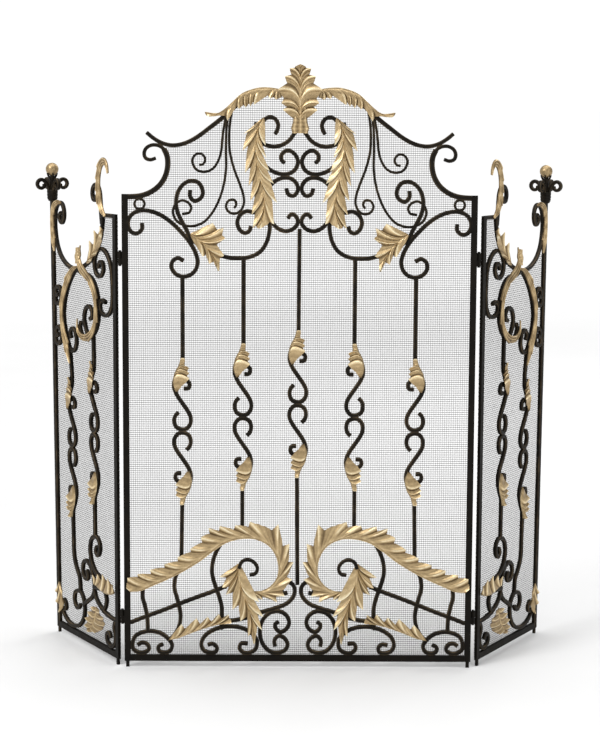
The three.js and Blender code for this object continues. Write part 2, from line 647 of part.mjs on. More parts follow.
function ball() {
  const geometry = new THREE.SphereGeometry(BALL_RADIUS, 10, 8);
  geometry.rotateX(Math.PI / 2);
  geometry.translate(outerPostFoot + leanAt(OUTER_POST_HEIGHT), FRAME_DEPTH / 2, BALL_HEIGHT);
  return toManifold(geometry);
}

const wingLeaves = {
  top_leaf: {
    spine: [
      [42, 971], [49, 982], [63, 983], [77, 973], [84, 955], [84, 930], [79, 906], [68, 888],
      [53, 879],
    ],
    widths: [4, 12, 4],
    teeth: 8,
  },
  side_leaf: { spine: [[66, 850], [84, 836], [106, 814], [142, 783]], widths: [10, 17, 4], teeth: 4 },
  outer_leaf: {
    spine: [[268, 893], [286, 891], [301, 880], [308, 858], [308, 832], [301, 798]],
    widths: [4, 12, 6], teeth: 6,
  },
};
const strandNear = {
  spine: [
    [184, 812], [178, 787], [166, 766], [140, 753], [114, 736], [101, 709], [99, 680], [108, 655],
    [128, 636], [154, 626], [176, 631], [187, 645], [181, 659],
  ],
  widths: [8, 8, 4], teeth: 12,
};
const strandFar = {
  spine: [
    [174, 777], [205, 768], [222, 750], [244, 723], [262, 692], [267, 662], [256, 628], [243, 600],
    [228, 570],
  ],
  widths: [6, 13, 7], teeth: 9,
};

function buildWing(side) {
  const wing = new THREE.Group();
  wing.position.x = WING_START;
  wing.rotation.z = THREE.MathUtils.degToRad(WING_ANGLE);
  wingFrame(wing, side);
  const nearEnd = WING_POST_NEAR + FRAME_WIDTH + GAP;
  const nearCutter = box(0, nearEnd, -1, FRAME_DEPTH + 1, -1, WING_POST_HEIGHT + FRAME_WIDTH);
  const farWidth = FRAME_WIDTH + 2 * GAP;
  const farCutter = leaningPost(farWidth, -1, OUTER_POST_HEIGHT + 1, -1, FRAME_DEPTH + 1);
  const cutters = [nearCutter, farCutter, railCutter];
  const trimmed = (solid) => cutters.reduce((rest, cutter) => rest.subtract(cutter), solid);
  const outerPost = leaningPost(FRAME_WIDTH, 0, OUTER_POST_HEIGHT);
  addNode(wing, `${side}_outer_post`, weld([outerPost, footPeg(outerPostFoot), fleur()]), iron);
  addNode(wing, `${side}_ball`, ball(), gold);

  const upperLines = [
    uBar, crestCurl, hingeScroll, hoopNear, hoopFar, hoopSpiral, strandHook, topRail,
    rosette, rosetteStub, rosette.map(([u, z]) => [u, z + ROSETTE_DROP]), lowerRosetteStub,
  ];
  addNode(wing, `${side}_upper_scrolls`, trimmed(weld(bars(upperLines))), iron);
  const lowerLines = [
    caneScroll, kneeScroll, kneeStem, railTail, boxScroll, bowlScroll, bowlHook, cornerScroll,
  ];
  addNode(wing, `${side}_lower_scrolls`, trimmed(weld(bars(lowerLines))), iron);
  const cuts = [clearance(upperLines), clearance(lowerLines)];
  wingBalusters.forEach((one, i) => {
    addNode(wing, `${side}_baluster_${i + 1}`, baluster(balusterLines(one), cuts), iron);
  });

  Object.entries(wingLeaves).forEach(([name, shape]) => {
    addNode(wing, `${side}_${name}`, leaf(shape), gold);
  });
  addNode(wing, `${side}_hoop_leaves`, leaf(strandNear).add(leaf(strandFar)), gold);

  const meshNear = WING_POST_NEAR + MESH_TUCK;
  const meshCorner = [outerPostFoot + leanAt(WING_MESH_CORNER), WING_MESH_CORNER];
  const meshEdges = [
    [meshNear, MESH_FOOT], [outerPostFoot, MESH_FOOT], meshCorner, ...uBar.slice(0, 10).reverse(),
    [meshNear, topRail[1][1]],
  ];
  const { near, far, foot, top } = WING_SLOT;
  const slot = box(near, far, -1, FRAME_DEPTH + 4, foot, top);
  const sheet = plate(meshEdges, meshFront, meshFront + MESH_THICKNESS).subtract(slot);
  addNode(wing, `${side}_mesh`, sheet, steelMesh);
  return wing;
}

const rightWing = buildWing('right_wing');
panel.add(rightWing);
const leftWing = new THREE.Group();
leftWing.scale.x = -1;
leftWing.add(buildWing('left_wing'));
panel.add(leftWing);

HINGE_HEIGHTS.forEach((z, i) => {
  const level = i ? 'lower' : 'upper';
  addNode(panel, `hinge_pin_right_${level}`, hingePin(z), iron);
  addNode(panel, `hinge_pin_left_${level}`, hingePin(z), iron).scale.x = -1;
});

// ---- The origin: the middle of the footprint -----------------------------------------------------
group.updateMatrixWorld(true);
const extent = new THREE.Box3().setFromObject(group, true);
panel.position.y = -(extent.min.y + extent.max.y) / 2;

export default group;
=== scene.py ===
"""Three-fold wrought-iron fireplace screen with gilded acanthus leaves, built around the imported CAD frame.

Lines and outlines are in millimetres in a panel's own plane: [across, above the rail's lower edge].
The centre panel's lines are those of its left half. A wing's lines run outwards from its hinge.
"""
import math

import bpy
import numpy as np
from mathutils import Matrix, Vector


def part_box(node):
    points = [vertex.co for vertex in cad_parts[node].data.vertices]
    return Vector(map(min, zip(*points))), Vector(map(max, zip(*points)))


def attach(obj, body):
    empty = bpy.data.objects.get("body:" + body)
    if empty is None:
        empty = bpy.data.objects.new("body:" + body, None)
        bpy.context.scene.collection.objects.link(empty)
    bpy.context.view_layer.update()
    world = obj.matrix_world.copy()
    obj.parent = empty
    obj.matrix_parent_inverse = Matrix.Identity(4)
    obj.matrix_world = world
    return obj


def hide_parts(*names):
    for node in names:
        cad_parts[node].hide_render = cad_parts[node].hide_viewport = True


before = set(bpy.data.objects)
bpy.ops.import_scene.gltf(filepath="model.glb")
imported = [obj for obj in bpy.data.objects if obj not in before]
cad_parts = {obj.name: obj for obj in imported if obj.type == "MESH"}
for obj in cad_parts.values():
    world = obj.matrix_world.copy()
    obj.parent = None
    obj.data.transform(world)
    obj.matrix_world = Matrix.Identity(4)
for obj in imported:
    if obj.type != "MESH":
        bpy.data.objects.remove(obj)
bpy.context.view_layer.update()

MM = 0.001
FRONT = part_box("bottom_rail")[0].y
RAIL_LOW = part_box("bottom_rail")[0].z
KNUCKLE_REACH = 8.0  # about how far the hinge knuckles stand out past a centre post
PANEL_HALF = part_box("post_right")[1].x / MM - KNUCKLE_REACH
WING_START = 350.3  # where a wing's front plane meets the centre panel's
WING_ANGLE = math.radians(60)
FRAME_WIDTH = 12.0
BAR_DEPTH = 8.0
SCROLL_BAR = 8.1
WIRE_PITCH = 25.4 / 6
WIRE_CRIMP = 0.4
WIRE_STAND_OFF = 0.8  # from the bars' backs to the middle of the weave

# ---- The camera stands in front of the screen, a little above its middle ----
CAMERA_PLACE = (-0.0185, -4.0963 + FRONT, 1.1638 + RAIL_LOW)
CAMERA_YAW, CAMERA_PITCH, CAMERA_ROLL = (math.radians(a) for a in (-0.288, 8.189, -0.279))
CAMERA_LENS = 102.08


def make_camera():
    data = bpy.data.cameras.new("camera")
    data.lens = CAMERA_LENS
    data.sensor_width = 36.0
    camera = bpy.data.objects.new("camera", data)
    bpy.context.scene.collection.objects.link(camera)
    turn = (
        Matrix.Rotation(CAMERA_YAW, 4, "Z")
        @ Matrix.Rotation(math.pi / 2 - CAMERA_PITCH, 4, "X")
        @ Matrix.Rotation(-CAMERA_ROLL, 4, "Z")
    )
    camera.matrix_world = Matrix.Translation(CAMERA_PLACE) @ turn
    bpy.context.scene.camera = camera


make_camera()


# ---- Lines ----
def smooth_line(points, step):
    """A centripetal Catmull-Rom curve through the points, sampled evenly about every step."""
    p = np.array(points, float)
    p = np.vstack([2 * p[0] - p[1], p, 2 * p[-1] - p[-2]])
    knots = np.concatenate([[0], np.cumsum(np.linalg.norm(np.diff(p, axis=0), axis=1) ** 0.5)])
    fine = []
    for i in range(1, len(p) - 2):
        t = np.linspace(knots[i], knots[i + 1], 16, endpoint=False)[:, None]
        k0, k1, k2, k3 = knots[i - 1 : i + 3]
        a1 = (k1 - t) / (k1 - k0) * p[i - 1] + (t - k0) / (k1 - k0) * p[i]
        a2 = (k2 - t) / (k2 - k1) * p[i] + (t - k1) / (k2 - k1) * p[i + 1]
        a3 = (k3 - t) / (k3 - k2) * p[i + 1] + (t - k2) / (k3 - k2) * p[i + 2]
        b1 = (k2 - t) / (k2 - k0) * a1 + (t - k0) / (k2 - k0) * a2
        b2 = (k3 - t) / (k3 - k1) * a2 + (t - k1) / (k3 - k1) * a3
        fine.append((k2 - t) / (k2 - k1) * b1 + (t - k1) / (k2 - k1) * b2)
    fine = np.vstack([*fine, p[-2:-1]])
    return even_line(fine, step)


def even_line(line, step):
    along = np.concatenate([[0], np.cumsum(np.linalg.norm(np.diff(line, axis=0), axis=1))])
    count = max(3, int(round(along[-1] / step)) + 1)
    wanted = np.linspace(0, along[-1], count)
    return np.stack([np.interp(wanted, along, line[:, k]) for k in range(line.shape[1])], 1)


def tangents(line):
    t = np.gradient(line, axis=0)
    return t / np.linalg.norm(t, axis=1, keepdims=True)


# ---- Shells: (vertices [across, depth, up], quads, tone). Depth 0 is a bar's front face. ----
def outward(verts, quads):
    a, b, c, d = (verts[quads[:, k]] for k in range(4))
    volume = np.einsum("ij,ij->", np.cross(a, b), c) + np.einsum("ij,ij->", np.cross(a, c), d)
    return quads if volume > 0 else quads[:, ::-1]


def tube_walls(rings, sides):
    """Quads between each ring of points and the next."""
    i = np.arange(rings - 1)[:, None] * sides
    j = np.arange(sides)[None, :]
    k = (j + 1) % sides
    return np.stack([i + j, i + k, i + sides + k, i + sides + j], -1).reshape(-1, 4)


def tube_quads(rings, sides):
    """Quads of a tube of rings, closed at both ends by strips across the section."""
    row = np.arange(sides // 2 - 1)
    cap = np.stack([row, row + 1, sides - 2 - row, sides - 1 - row], 1)
    return np.vstack([tube_walls(rings, sides), cap[:, ::-1], cap + (rings - 1) * sides])


HAMMER_WAVES = [(0.5, 0.11, 1.7), (0.3, 0.29, 4.1), (0.2, 0.53, 2.3)]  # share, rate, shift by seed


def hammer(along, seed):
    """A slow uneven swing between -1 and 1, for bars drawn out by hand."""
    return sum(share * np.sin(along * rate + seed * shift) for share, rate, shift in HAMMER_WAVES)


ROUNDING = 0.24  # a bar's corner radius over its width
END_CHAMFER = 1.1
END_TAPER = 0.72  # a bar's last ring over its full section
HAMMER_DEPTH = 0.16
CORNER_TONE, SHOULDER_TONE = 1.0, 0.55  # in the middle of a rounded corner, and where it meets a face


def section(half_width, half_depth, rounding):
    """Sixteen points round a bar: three on each corner and one on each face, and their tones."""
    r = rounding * min(half_width, half_depth) * 2
    points, tones = [], []
    for quarter, (sx, sy) in enumerate([(1, 1), (-1, 1), (-1, -1), (1, -1)]):
        centre = (sx * (half_width - r), sy * (half_depth - r))
        for bend_angle in (0, 45, 90):
            angle = math.radians(90 * quarter + bend_angle)
            points.append((centre[0] + r * math.cos(angle), centre[1] + r * math.sin(angle)))
            tones.append(CORNER_TONE if bend_angle == 45 else SHOULDER_TONE)
        flat = (0, sy * half_depth) if quarter % 2 == 0 else (sx * half_width, 0)
        points.append(flat)
        tones.append(0.0)
    return np.array(points), np.array(tones)


def bar(points, width=SCROLL_BAR, depth=(0.0, BAR_DEPTH), step=2.4, ends=(1.0, 1.0), straight=False):
    """A forged bar of rounded square section along a line, with eased ends."""
    line = even_line(np.array(points, float), step) if straight else smooth_line(points, step)
    along = np.concatenate([[0], np.cumsum(np.linalg.norm(np.diff(line, axis=0), axis=1))])
    direction = tangents(line)
    extra = END_CHAMFER * 0.5
    line = np.vstack([line[0] - direction[0] * extra, line, line[-1] + direction[-1] * extra])
    direction = np.vstack([direction[:1], direction, direction[-1:]])
    along = np.concatenate([[along[0] - extra], along, [along[-1] + extra]])
    taper = np.interp(along, [along[0], along[-1]], ends)
    taper[[0, -1]] *= END_TAPER
    profile, tones = section(width / 2, (depth[1] - depth[0]) / 2, ROUNDING)
    seed = float(np.sum(np.array(points)[0]) % 7)
    swell = HAMMER_DEPTH * hammer(along, seed)
    normal = np.stack([-direction[:, 1], direction[:, 0]], 1)
    across = profile[None, :, 0] * taper[:, None] * (1 + swell / width)[:, None]
    deep = profile[None, :, 1] * (1 + hammer(along, seed + 3) * HAMMER_DEPTH / BAR_DEPTH)[:, None]
    deep[[0, -1]] *= END_TAPER
    middle = (depth[0] + depth[1]) / 2
    place = line[:, None, :] + across[:, :, None] * normal[:, None, :]
    verts = np.stack([place[..., 0], middle + deep, place[..., 1]], -1).reshape(-1, 3)
    quads = tube_quads(len(line), len(profile))
    return verts, outward(verts, quads), np.tile(tones, len(line))


def bars(lines, width=SCROLL_BAR):
    return [bar(points, width) for points in lines]


LEAF_SHEET = 1.4
LOBE_TIP = 0.80  # how far along a lobe its tip stands
LOBE_STEPS = [0, 0.09, 0.17, 0.25, 0.30, 0.38, 0.46, 0.53, 0.58, 0.66, 0.74, LOBE_TIP, 0.87, 0.94]
LOBE_TEETH = [0, 0.3, 0.6, 1.0, 0.0, 0.3, 0.6, 1.0, 0.0, 0.3, 0.3, 0, 0, 0]
BLADE_STEPS = np.array([0, 0.05, 0.11, 0.19, 0.29, 0.4, 0.51, 0.62, 0.73, 0.83, 0.92, 1.0])
BLADE_FLUTES = np.array([0.3, 1.0, 0.4, 0.0, 0.9, 0.4, 0.0, 0.7, 0.3, 0.0, 0.0, 0.0])
FLUTE_RISE = 1.5
STREAK_RISE = 0.22
RIPPLE_RISE = 0.16
BASE_STEP = 0.012  # least share of the spine between the ends of two lobes
CALM_FADE = 0.3  # how fast the lobes rise past the calm part
EDGE_PULL = 0.18
# the glint width sets the painted highlight along each lobe's rib near its tip; the groove and root widths
# set the darkened bands at a lobe's ends, antiqued finish deepened by painted shade
TIP_WIDTH, GLINT_WIDTH, GROOVE_WIDTH, ROOT_WIDTH, VEIN_WIDTH = 0.22, 0.085, 0.09, 0.08, 0.05
GROOVE_PLACE = 0.97
# the glint tone is the painted highlight's strength; the groove tone darkens the grooves, partly the antiqued
# finish and partly painted shade
BASE_TONE, RIB_TONE, STREAK_TONE, GLINT_TONE, GROOVE_PATINA_AND_SHADE = 0.36, 0.08, 0.11, 0.46, 0.30
VEIN_TONE, FLUTE_TONE, FLUTE_MEAN = 0.30, 0.30, 0.4
BACK_DULL_AND_SHADE = 0.3  # a leaf's back over its front: a duller antiqued back, darkened further as painted shade
TURNED_TONE = 0.34


def hump(x, width):
    return math.exp(-((x / width) ** 2))


def lagging_bases(line, tips, lag):
    """Where on a line each lobe ends: the point abreast of its tip, less the way its rib runs on."""
    marks = []
    for tip in tips[:-1]:
        abreast = int(np.argmin(np.linalg.norm(line - np.array(tip[:2]), axis=1)))
        marks.append(max(abreast - lag, 2.0) / (len(line) - 1))
    for k in range(1, len(marks)):
        marks[k] = max(marks[k], marks[k - 1] + BASE_STEP)
    return np.array([0.0, *marks, 1.0])


def blade(
    spine, first, tips, last, bases=None, lag=30.0, notch=8.0, back=5.0, hug=0.4, relief=3.6,
    level=1.0, crown=(1.4, 0.0, 1.0, 0.4), curl=2.5, glow=0.0, bulge=0.06, calm=0.0, serrate=1.2,
):
    """One side of an embossed leaf: lobes from a spine out to pointed tips, each with a sharp rib.

    Tips follow each other along the leaf's growth, as [across, up] or with the notch after them. The part
    nearest the spine, up to calm, is fluted lengthwise. Small teeth of height serrate edge each lobe.
    """
    line = smooth_line(spine, 1.0)
    direction = tangents(line)
    count = len(tips)
    bases = lagging_bases(line, tips, lag) if bases is None else np.array(bases, float)
    outline = [np.array(first, float)]
    for k, tip in enumerate(tips):
        point = np.array(tip[:2], float)
        end = int(round(bases[k + 1] * (len(line) - 1)))
        root = line[end]
        inwards = (root - point) / max(np.linalg.norm(root - point), 1e-6)
        along = direction[end]
        pulled = point + inwards * notch - along * back
        outline += [point, np.array(tip[2:4], float) if len(tip) > 2 else pulled]
    outline[-1] = np.array(last, float)
    rows, tones, heights = [], [], []
    t = BLADE_STEPS
    rise = np.clip((t - calm) / CALM_FADE, 0, 1)
    rise = rise * rise * (3 - 2 * rise)
    fluted = (1 - rise) * (calm > 0)
    profile = np.interp(t, [0, 0.14, 0.5, 1.0], crown) + FLUTE_RISE * BLADE_FLUTES * fluted
    for k in range(count):
        closing = [(1.0, 0)] if k == count - 1 else []
        for u, tooth in [*zip(LOBE_STEPS, LOBE_TEETH), *closing]:
            share = bases[k] + (bases[k + 1] - bases[k]) * u
            place = share * (len(line) - 1)
            i = min(int(place), len(line) - 2)
            root = line[i] + (line[i + 1] - line[i]) * (place - i)
            start, tip, end = outline[2 * k : 2 * k + 3]
            if u <= LOBE_TIP:
                v = u / LOBE_TIP
                edge = start + (tip - start) * v
                out = edge - root
                swell = bulge * math.sin(math.pi * v) * (1 - 1.3 * v) * np.linalg.norm(tip - start)
                edge = edge + out / max(np.linalg.norm(out), 1e-6) * (swell + serrate * tooth)
            else:
                edge = tip + (end - tip) * (u - LOBE_TIP) / (1 - LOBE_TIP)
            reach = np.linalg.norm(edge - root)
            control = root + direction[i] * reach * hug + (edge - root) * EDGE_PULL
            shares = [((1 - t) ** 2)[:, None], (2 * t * (1 - t))[:, None], (t**2)[:, None]]
            rows.append(shares[0] * root + shares[1] * control + shares[2] * edge)
            ridge = (u / LOBE_TIP) ** 1.4 if u <= LOBE_TIP else ((1 - u) / (1 - LOBE_TIP)) ** 1.2
            ridge += RIPPLE_RISE * math.sin(u / LOBE_TIP * 2 * math.pi * 1.5) * (u < LOBE_TIP)
            near_tip = hump(u - LOBE_TIP, TIP_WIDTH)
            streak = math.sin(k * 5.3 + u * 47.0) * math.sin(k * 2.1 + u * 23.0)
            raised = relief * ridge * rise * (1 - 0.25 * t) + curl * t**3 * near_tip
            heights.append(level + profile + raised + STREAK_RISE * streak * rise)
            # painted highlight along the rib by the tip, and grooves darkened partly by the antiqued finish
            # and partly by painted shade
            glint = hump(u - LOBE_TIP, GLINT_WIDTH)
            groove = hump(u - GROOVE_PLACE, GROOVE_WIDTH) + hump(u, ROOT_WIDTH)
            lit = (GLINT_TONE * glint - GROOVE_PATINA_AND_SHADE * groove) * rise
            # glow is painted light on the side of a leaf that faces the light
            tone = BASE_TONE + RIB_TONE * ridge + STREAK_TONE * streak + lit + glow
            vein = VEIN_TONE * np.exp(-((t / VEIN_WIDTH) ** 2))
            tones.append(tone + vein + FLUTE_TONE * (BLADE_FLUTES - FLUTE_MEAN) * fluted)
    place = np.array(rows)
    raised = np.array(heights)
    front = np.stack([place[..., 0], -raised, place[..., 1]], -1).reshape(-1, 3)
    behind = front + np.array([0, LEAF_SHEET, 0])
    tone = np.clip(np.array(tones), 0, 1).reshape(-1)
    return sheet_shell(front, behind, len(rows), len(t), tone)


def sheet_shell(front, back, rows, columns, tone):
    """A grid and its back, joined round the edge into a closed shell."""
    n = rows * columns
    grid = np.arange(n).reshape(rows, columns)
    face = np.stack([grid[:-1, :-1], grid[:-1, 1:], grid[1:, 1:], grid[1:, :-1]], -1).reshape(-1, 4)
    rim = np.concatenate([grid[0, :-1], grid[:-1, -1], grid[-1, :0:-1], grid[:0:-1, 0]])
    after = np.roll(rim, -1)
    wall = np.stack([rim, rim + n, after + n, after], 1)
    verts = np.vstack([front, back])
    quads = np.vstack([face, face[:, ::-1] + n, wall])
    # the back's tone is darker: a duller antiqued back, with painted shade
    return verts, outward(verts, quads), np.concatenate([tone, tone * BACK_DULL_AND_SHADE])


RIBBON_ACROSS = np.array([-1, -0.85, -0.68, -0.5, -0.32, -0.14, 0.04, 0.22, 0.4, 0.58, 0.76, 0.9, 1.0])
RIBBON_RIBS = np.array([0.0, 0.5, 1.0, 0.55, 0.1, 0.5, 0.95, 0.5, 0.1, 0.6, 1.0, 0.5, 0.0])
TOOTH_RUN = 0.13
RIBBON_TWIST, TWIST_RATE = 0.25, 9.0
RIBBON_TONE, RIBBON_RIB_TONE, RIBBON_STREAK_TONE, RIBBON_STREAK_RATE = 0.16, 0.46, 0.10, 40


def ribbon(points, widths, teeth=(), lift=3.4, level=1.0, step=2.4, glow=0.0):
    """A long leaf blade with three sharp ribs along it; teeth are (share along, side, reach)."""
    line = smooth_line(points, step)
    s = np.linspace(0, 1, len(line))
    half = np.interp(s, np.linspace(0, 1, len(widths)), widths)
    sides = {-1: half.copy(), 1: half.copy()}
    for share, side, reach in teeth:
        run = np.clip((s - share + TOOTH_RUN) / TOOTH_RUN, 0, 1) * (s <= share)
        sides[side] = sides[side] + reach * run**1.6
    direction = tangents(line)
    normal = np.stack([-direction[:, 1], direction[:, 0]], 1)
    t = RIBBON_ACROSS
    spread = np.where(t[None, :] > 0, sides[1][:, None], sides[-1][:, None]) * t[None, :]
    place = line[:, None, :] + spread[:, :, None] * normal[:, None, :]
    twist = RIBBON_TWIST * np.sin(s * TWIST_RATE)[:, None] * t[None, :]
    raised = level + lift * (half / max(widths))[:, None] ** 0.5 * (0.25 + 0.75 * RIBBON_RIBS + twist)
    front = np.stack([place[..., 0], -raised, place[..., 1]], -1).reshape(-1, 3)
    behind = front + np.array([0, LEAF_SHEET, 0])
    streak = RIBBON_STREAK_TONE * np.sin(s * RIBBON_STREAK_RATE)[:, None]
    # glow is painted light on a blade that faces the light
    shade = np.clip(RIBBON_TONE + RIBBON_RIB_TONE * RIBBON_RIBS**2 + streak + glow, 0, 1)
    return sheet_shell(front, behind, len(line), len(t), shade.reshape(-1))


def lathe(profile, centre, sides=24):
    """A turned piece about an upright axis: profile is [radius, up], lowest first."""
    angle = np.linspace(0, 2 * math.pi, sides, endpoint=False)
    rings = [
        np.stack([centre[0] + r * np.cos(angle), centre[1] + r * np.sin(angle), np.full(sides, z)], 1)
        for r, z in profile
    ]
    verts = np.vstack(rings)
    return verts, outward(verts, tube_quads(len(profile), sides)), np.full(len(verts), TURNED_TONE)


# ---- Where the panels stand ----
def centre_place(verts):
    return verts * MM + np.array([0, FRONT, RAIL_LOW])


def wing_place(verts):
    c, s = math.cos(WING_ANGLE), math.sin(WING_ANGLE)
    along, deep, up = verts.T
    return centre_place(np.stack([WING_START + along * c - deep * s, along * s + deep * c, up], 1))


# ---- Pieces ----
SHARP_ANGLE = math.radians(32)


def joined(verts, faces):
    """The faces of separate shells, renumbered for their vertices put in one list."""
    starts = np.cumsum([0, *(len(shell) for shell in verts)])
    return np.vstack([group + start for group, start in zip(faces, starts)])


def add_piece(name, verts, faces, slot, body, mirrored, replaced):
    """A mesh piece that rides on a body. Faces are arrays of quads or triangles."""
    verts = centre_place(verts) if body == "centre_panel" else wing_place(verts)
    if mirrored or body == "left_wing":
        verts = verts * np.array([-1, 1, 1])
        faces = [group[:, ::-1] for group in faces]
    loops = np.concatenate([group.ravel() for group in faces])
    sizes = np.concatenate([np.full(len(group), group.shape[1]) for group in faces])
    mesh = bpy.data.meshes.new(name)
    mesh.vertices.add(len(verts))
    mesh.vertices.foreach_set("co", verts.astype(np.float32).ravel())
    mesh.loops.add(len(loops))
    mesh.loops.foreach_set("vertex_index", loops.astype(np.int32))
    mesh.polygons.add(len(sizes))
    mesh.polygons.foreach_set("loop_start", (np.cumsum(sizes) - sizes).astype(np.int32))
    mesh.update(calc_edges=True)
    mesh.polygons.foreach_set("use_smooth", np.ones(len(sizes), bool))
    mesh.materials.append(MATERIALS[slot])
    piece = bpy.data.objects.new(name, mesh)
    bpy.context.scene.collection.objects.link(piece)
    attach(piece, body)
    if replaced:
        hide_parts(replaced)
    return piece


def make_piece(name, shells, slot, replaced=None, body="centre_panel", mirrored=False):
    """Joins shells into one piece, with their tones as an attribute for the material."""
    verts, quads, tones = zip(*shells)
    piece = add_piece(name, np.vstack(verts), [joined(verts, quads)], slot, body, mirrored, replaced)
    attribute = piece.data.attributes.new("tone", "FLOAT", "POINT")
    attribute.data.foreach_set("value", np.concatenate(tones).astype(np.float32))
    piece.data.set_sharp_from_angle(angle=SHARP_ANGLE)


# ---- Materials ----
def new_material(name):
    material = bpy.data.materials.new(name)
    material.use_nodes = True
    return material, material.node_tree, material.node_tree.nodes["Principled BSDF"]


def noise_node(tree, scale, detail, roughness=0.55, distortion=0.0):
    coordinates = tree.nodes.new("ShaderNodeTexCoord")
    noise = tree.nodes.new("ShaderNodeTexNoise")
    noise.inputs["Scale"].default_value = scale
    noise.inputs["Detail"].default_value = detail
    noise.inputs["Roughness"].default_value = roughness
    noise.inputs["Distortion"].default_value = distortion
    tree.links.new(coordinates.outputs["Object"], noise.inputs["Vector"])
    return noise.outputs["Fac"]


def ramp_node(tree, source, stops):
    ramp = tree.nodes.new("ShaderNodeValToRGB")
    elements = ramp.color_ramp.elements
    elements[0].position, elements[0].color = stops[0][0], (*stops[0][1], 1)
    elements[1].position, elements[1].color = stops[-1][0], (*stops[-1][1], 1)
    for position, colour in stops[1:-1]:
        elements.new(position).color = (*colour, 1)
    tree.links.new(source, ramp.inputs["Fac"])
    return ramp.outputs["Color"]


def math_node(tree, operation, first, second):
    node = tree.nodes.new("ShaderNodeMath")
    node.operation = operation
    for socket, value in zip(node.inputs, (first, second)):
        if isinstance(value, (int, float)):
            socket.default_value = value
        else:
            tree.links.new(value, socket)
    return node.outputs["Value"]


def tone_node(tree):
    attribute = tree.nodes.new("ShaderNodeAttribute")
    attribute.attribute_name = "tone"
    return attribute.outputs["Fac"]


def bump_node(tree, height, strength, distance):
    bump = tree.nodes.new("ShaderNodeBump")
    bump.inputs["Strength"].default_value = strength
    bump.inputs["Distance"].default_value = distance
    tree.links.new(height, bump.inputs["Height"])
    return bump.outputs["Normal"]


def make_iron():
    """Near-black brown patina on hammered bar, rubbed to a warmer brown along its edges."""
    material, tree, shader = new_material("forged_iron")
    patches = noise_node(tree, 26, 6, 0.6, 0.4)
    rubbed = math_node(tree, "MULTIPLY", tone_node(tree), patches)
    amount = math_node(tree, "ADD", math_node(tree, "MULTIPLY", patches, 0.7), rubbed)
    colour = ramp_node(tree, amount, [
        (0.22, (0.0022, 0.0017, 0.0010)),
        (0.50, (0.0090, 0.0066, 0.0038)),
        (0.75, (0.0300, 0.0215, 0.0120)),
        (1.00, (0.0850, 0.0600, 0.0330)),
    ])
    tree.links.new(colour, shader.inputs["Base Color"])
    rough = ramp_node(tree, patches, [(0.3, (0.46,) * 3), (0.7, (0.66,) * 3)])
    tree.links.new(rough, shader.inputs["Roughness"])
    shader.inputs["Metallic"].default_value = 0.0
    shader.inputs["Specular IOR Level"].default_value = 0.12
    height = math_node(tree, "ADD", noise_node(tree, 60, 3), noise_node(tree, 150, 2))
    tree.links.new(bump_node(tree, height, 0.25, 0.0012), shader.inputs["Normal"])
    return material


def make_gold():
    """Antiqued gold leaf: brown in the hollows, the finish deepened there by painted shade; pale on the ribs,
    with painted highlights along them and painted light on a leaf's lit side; mottled all over.
    """
    material, tree, shader = new_material("antique_gold")
    mottle = noise_node(tree, 80, 5, 0.65, 1.2)
    grain = noise_node(tree, 300, 4, 0.6)
    coarse = math_node(tree, "MULTIPLY", mottle, 0.42)
    fine = math_node(tree, "MULTIPLY", grain, 0.22)
    mixed = math_node(tree, "SUBTRACT", math_node(tree, "ADD", coarse, fine), 0.30)
    # the tone attribute carries the antiqued relief together with the leaves' painted highlights, painted
    # shade and painted light
    ribs = math_node(tree, "MULTIPLY", tone_node(tree), 0.95)
    colour = ramp_node(tree, math_node(tree, "ADD", ribs, mixed), [
        (0.08, (0.150, 0.100, 0.047)),
        (0.30, (0.330, 0.235, 0.120)),
        (0.55, (0.560, 0.415, 0.225)),
        (0.75, (0.800, 0.650, 0.400)),
        (0.98, (0.980, 0.890, 0.640)),
    ])
    tree.links.new(colour, shader.inputs["Base Color"])
    rough = ramp_node(tree, grain, [(0.3, (0.34,) * 3), (0.7, (0.52,) * 3)])
    tree.links.new(rough, shader.inputs["Roughness"])
    shader.inputs["Metallic"].default_value = 0.72
    pits = math_node(tree, "MULTIPLY", mottle, 0.8)
    height = math_node(tree, "ADD", pits, math_node(tree, "MULTIPLY", grain, 0.2))
    tree.links.new(bump_node(tree, height, 0.35, 0.0010), shader.inputs["Normal"])
    return material


def make_wire():
    """Dull drawn steel wire, paler in patches."""
    material, tree, shader = new_material("woven_wire")
    patches = noise_node(tree, 9, 4)
    colour = ramp_node(tree, patches, [(0.3, (0.030, 0.029, 0.027)), (0.7, (0.060, 0.057, 0.052))])
    tree.links.new(colour, shader.inputs["Base Color"])
    shader.inputs["Roughness"].default_value = 0.5
    shader.inputs["Metallic"].default_value = 0.3
    return material


MATERIALS = {"iron": make_iron(), "gold": make_gold(), "wire_mesh": make_wire()}


# ---- Centre panel: lines of the left half ----
FLAT_BAR, HORN_BAR, CURL_BAR, WHISKER_BAR = 10.4, 10.4, 7.0, 4.9
RING_CENTRE, RING_RADIUS, RING_BAR = (-308.5, 905.2), 9.8, 4.6

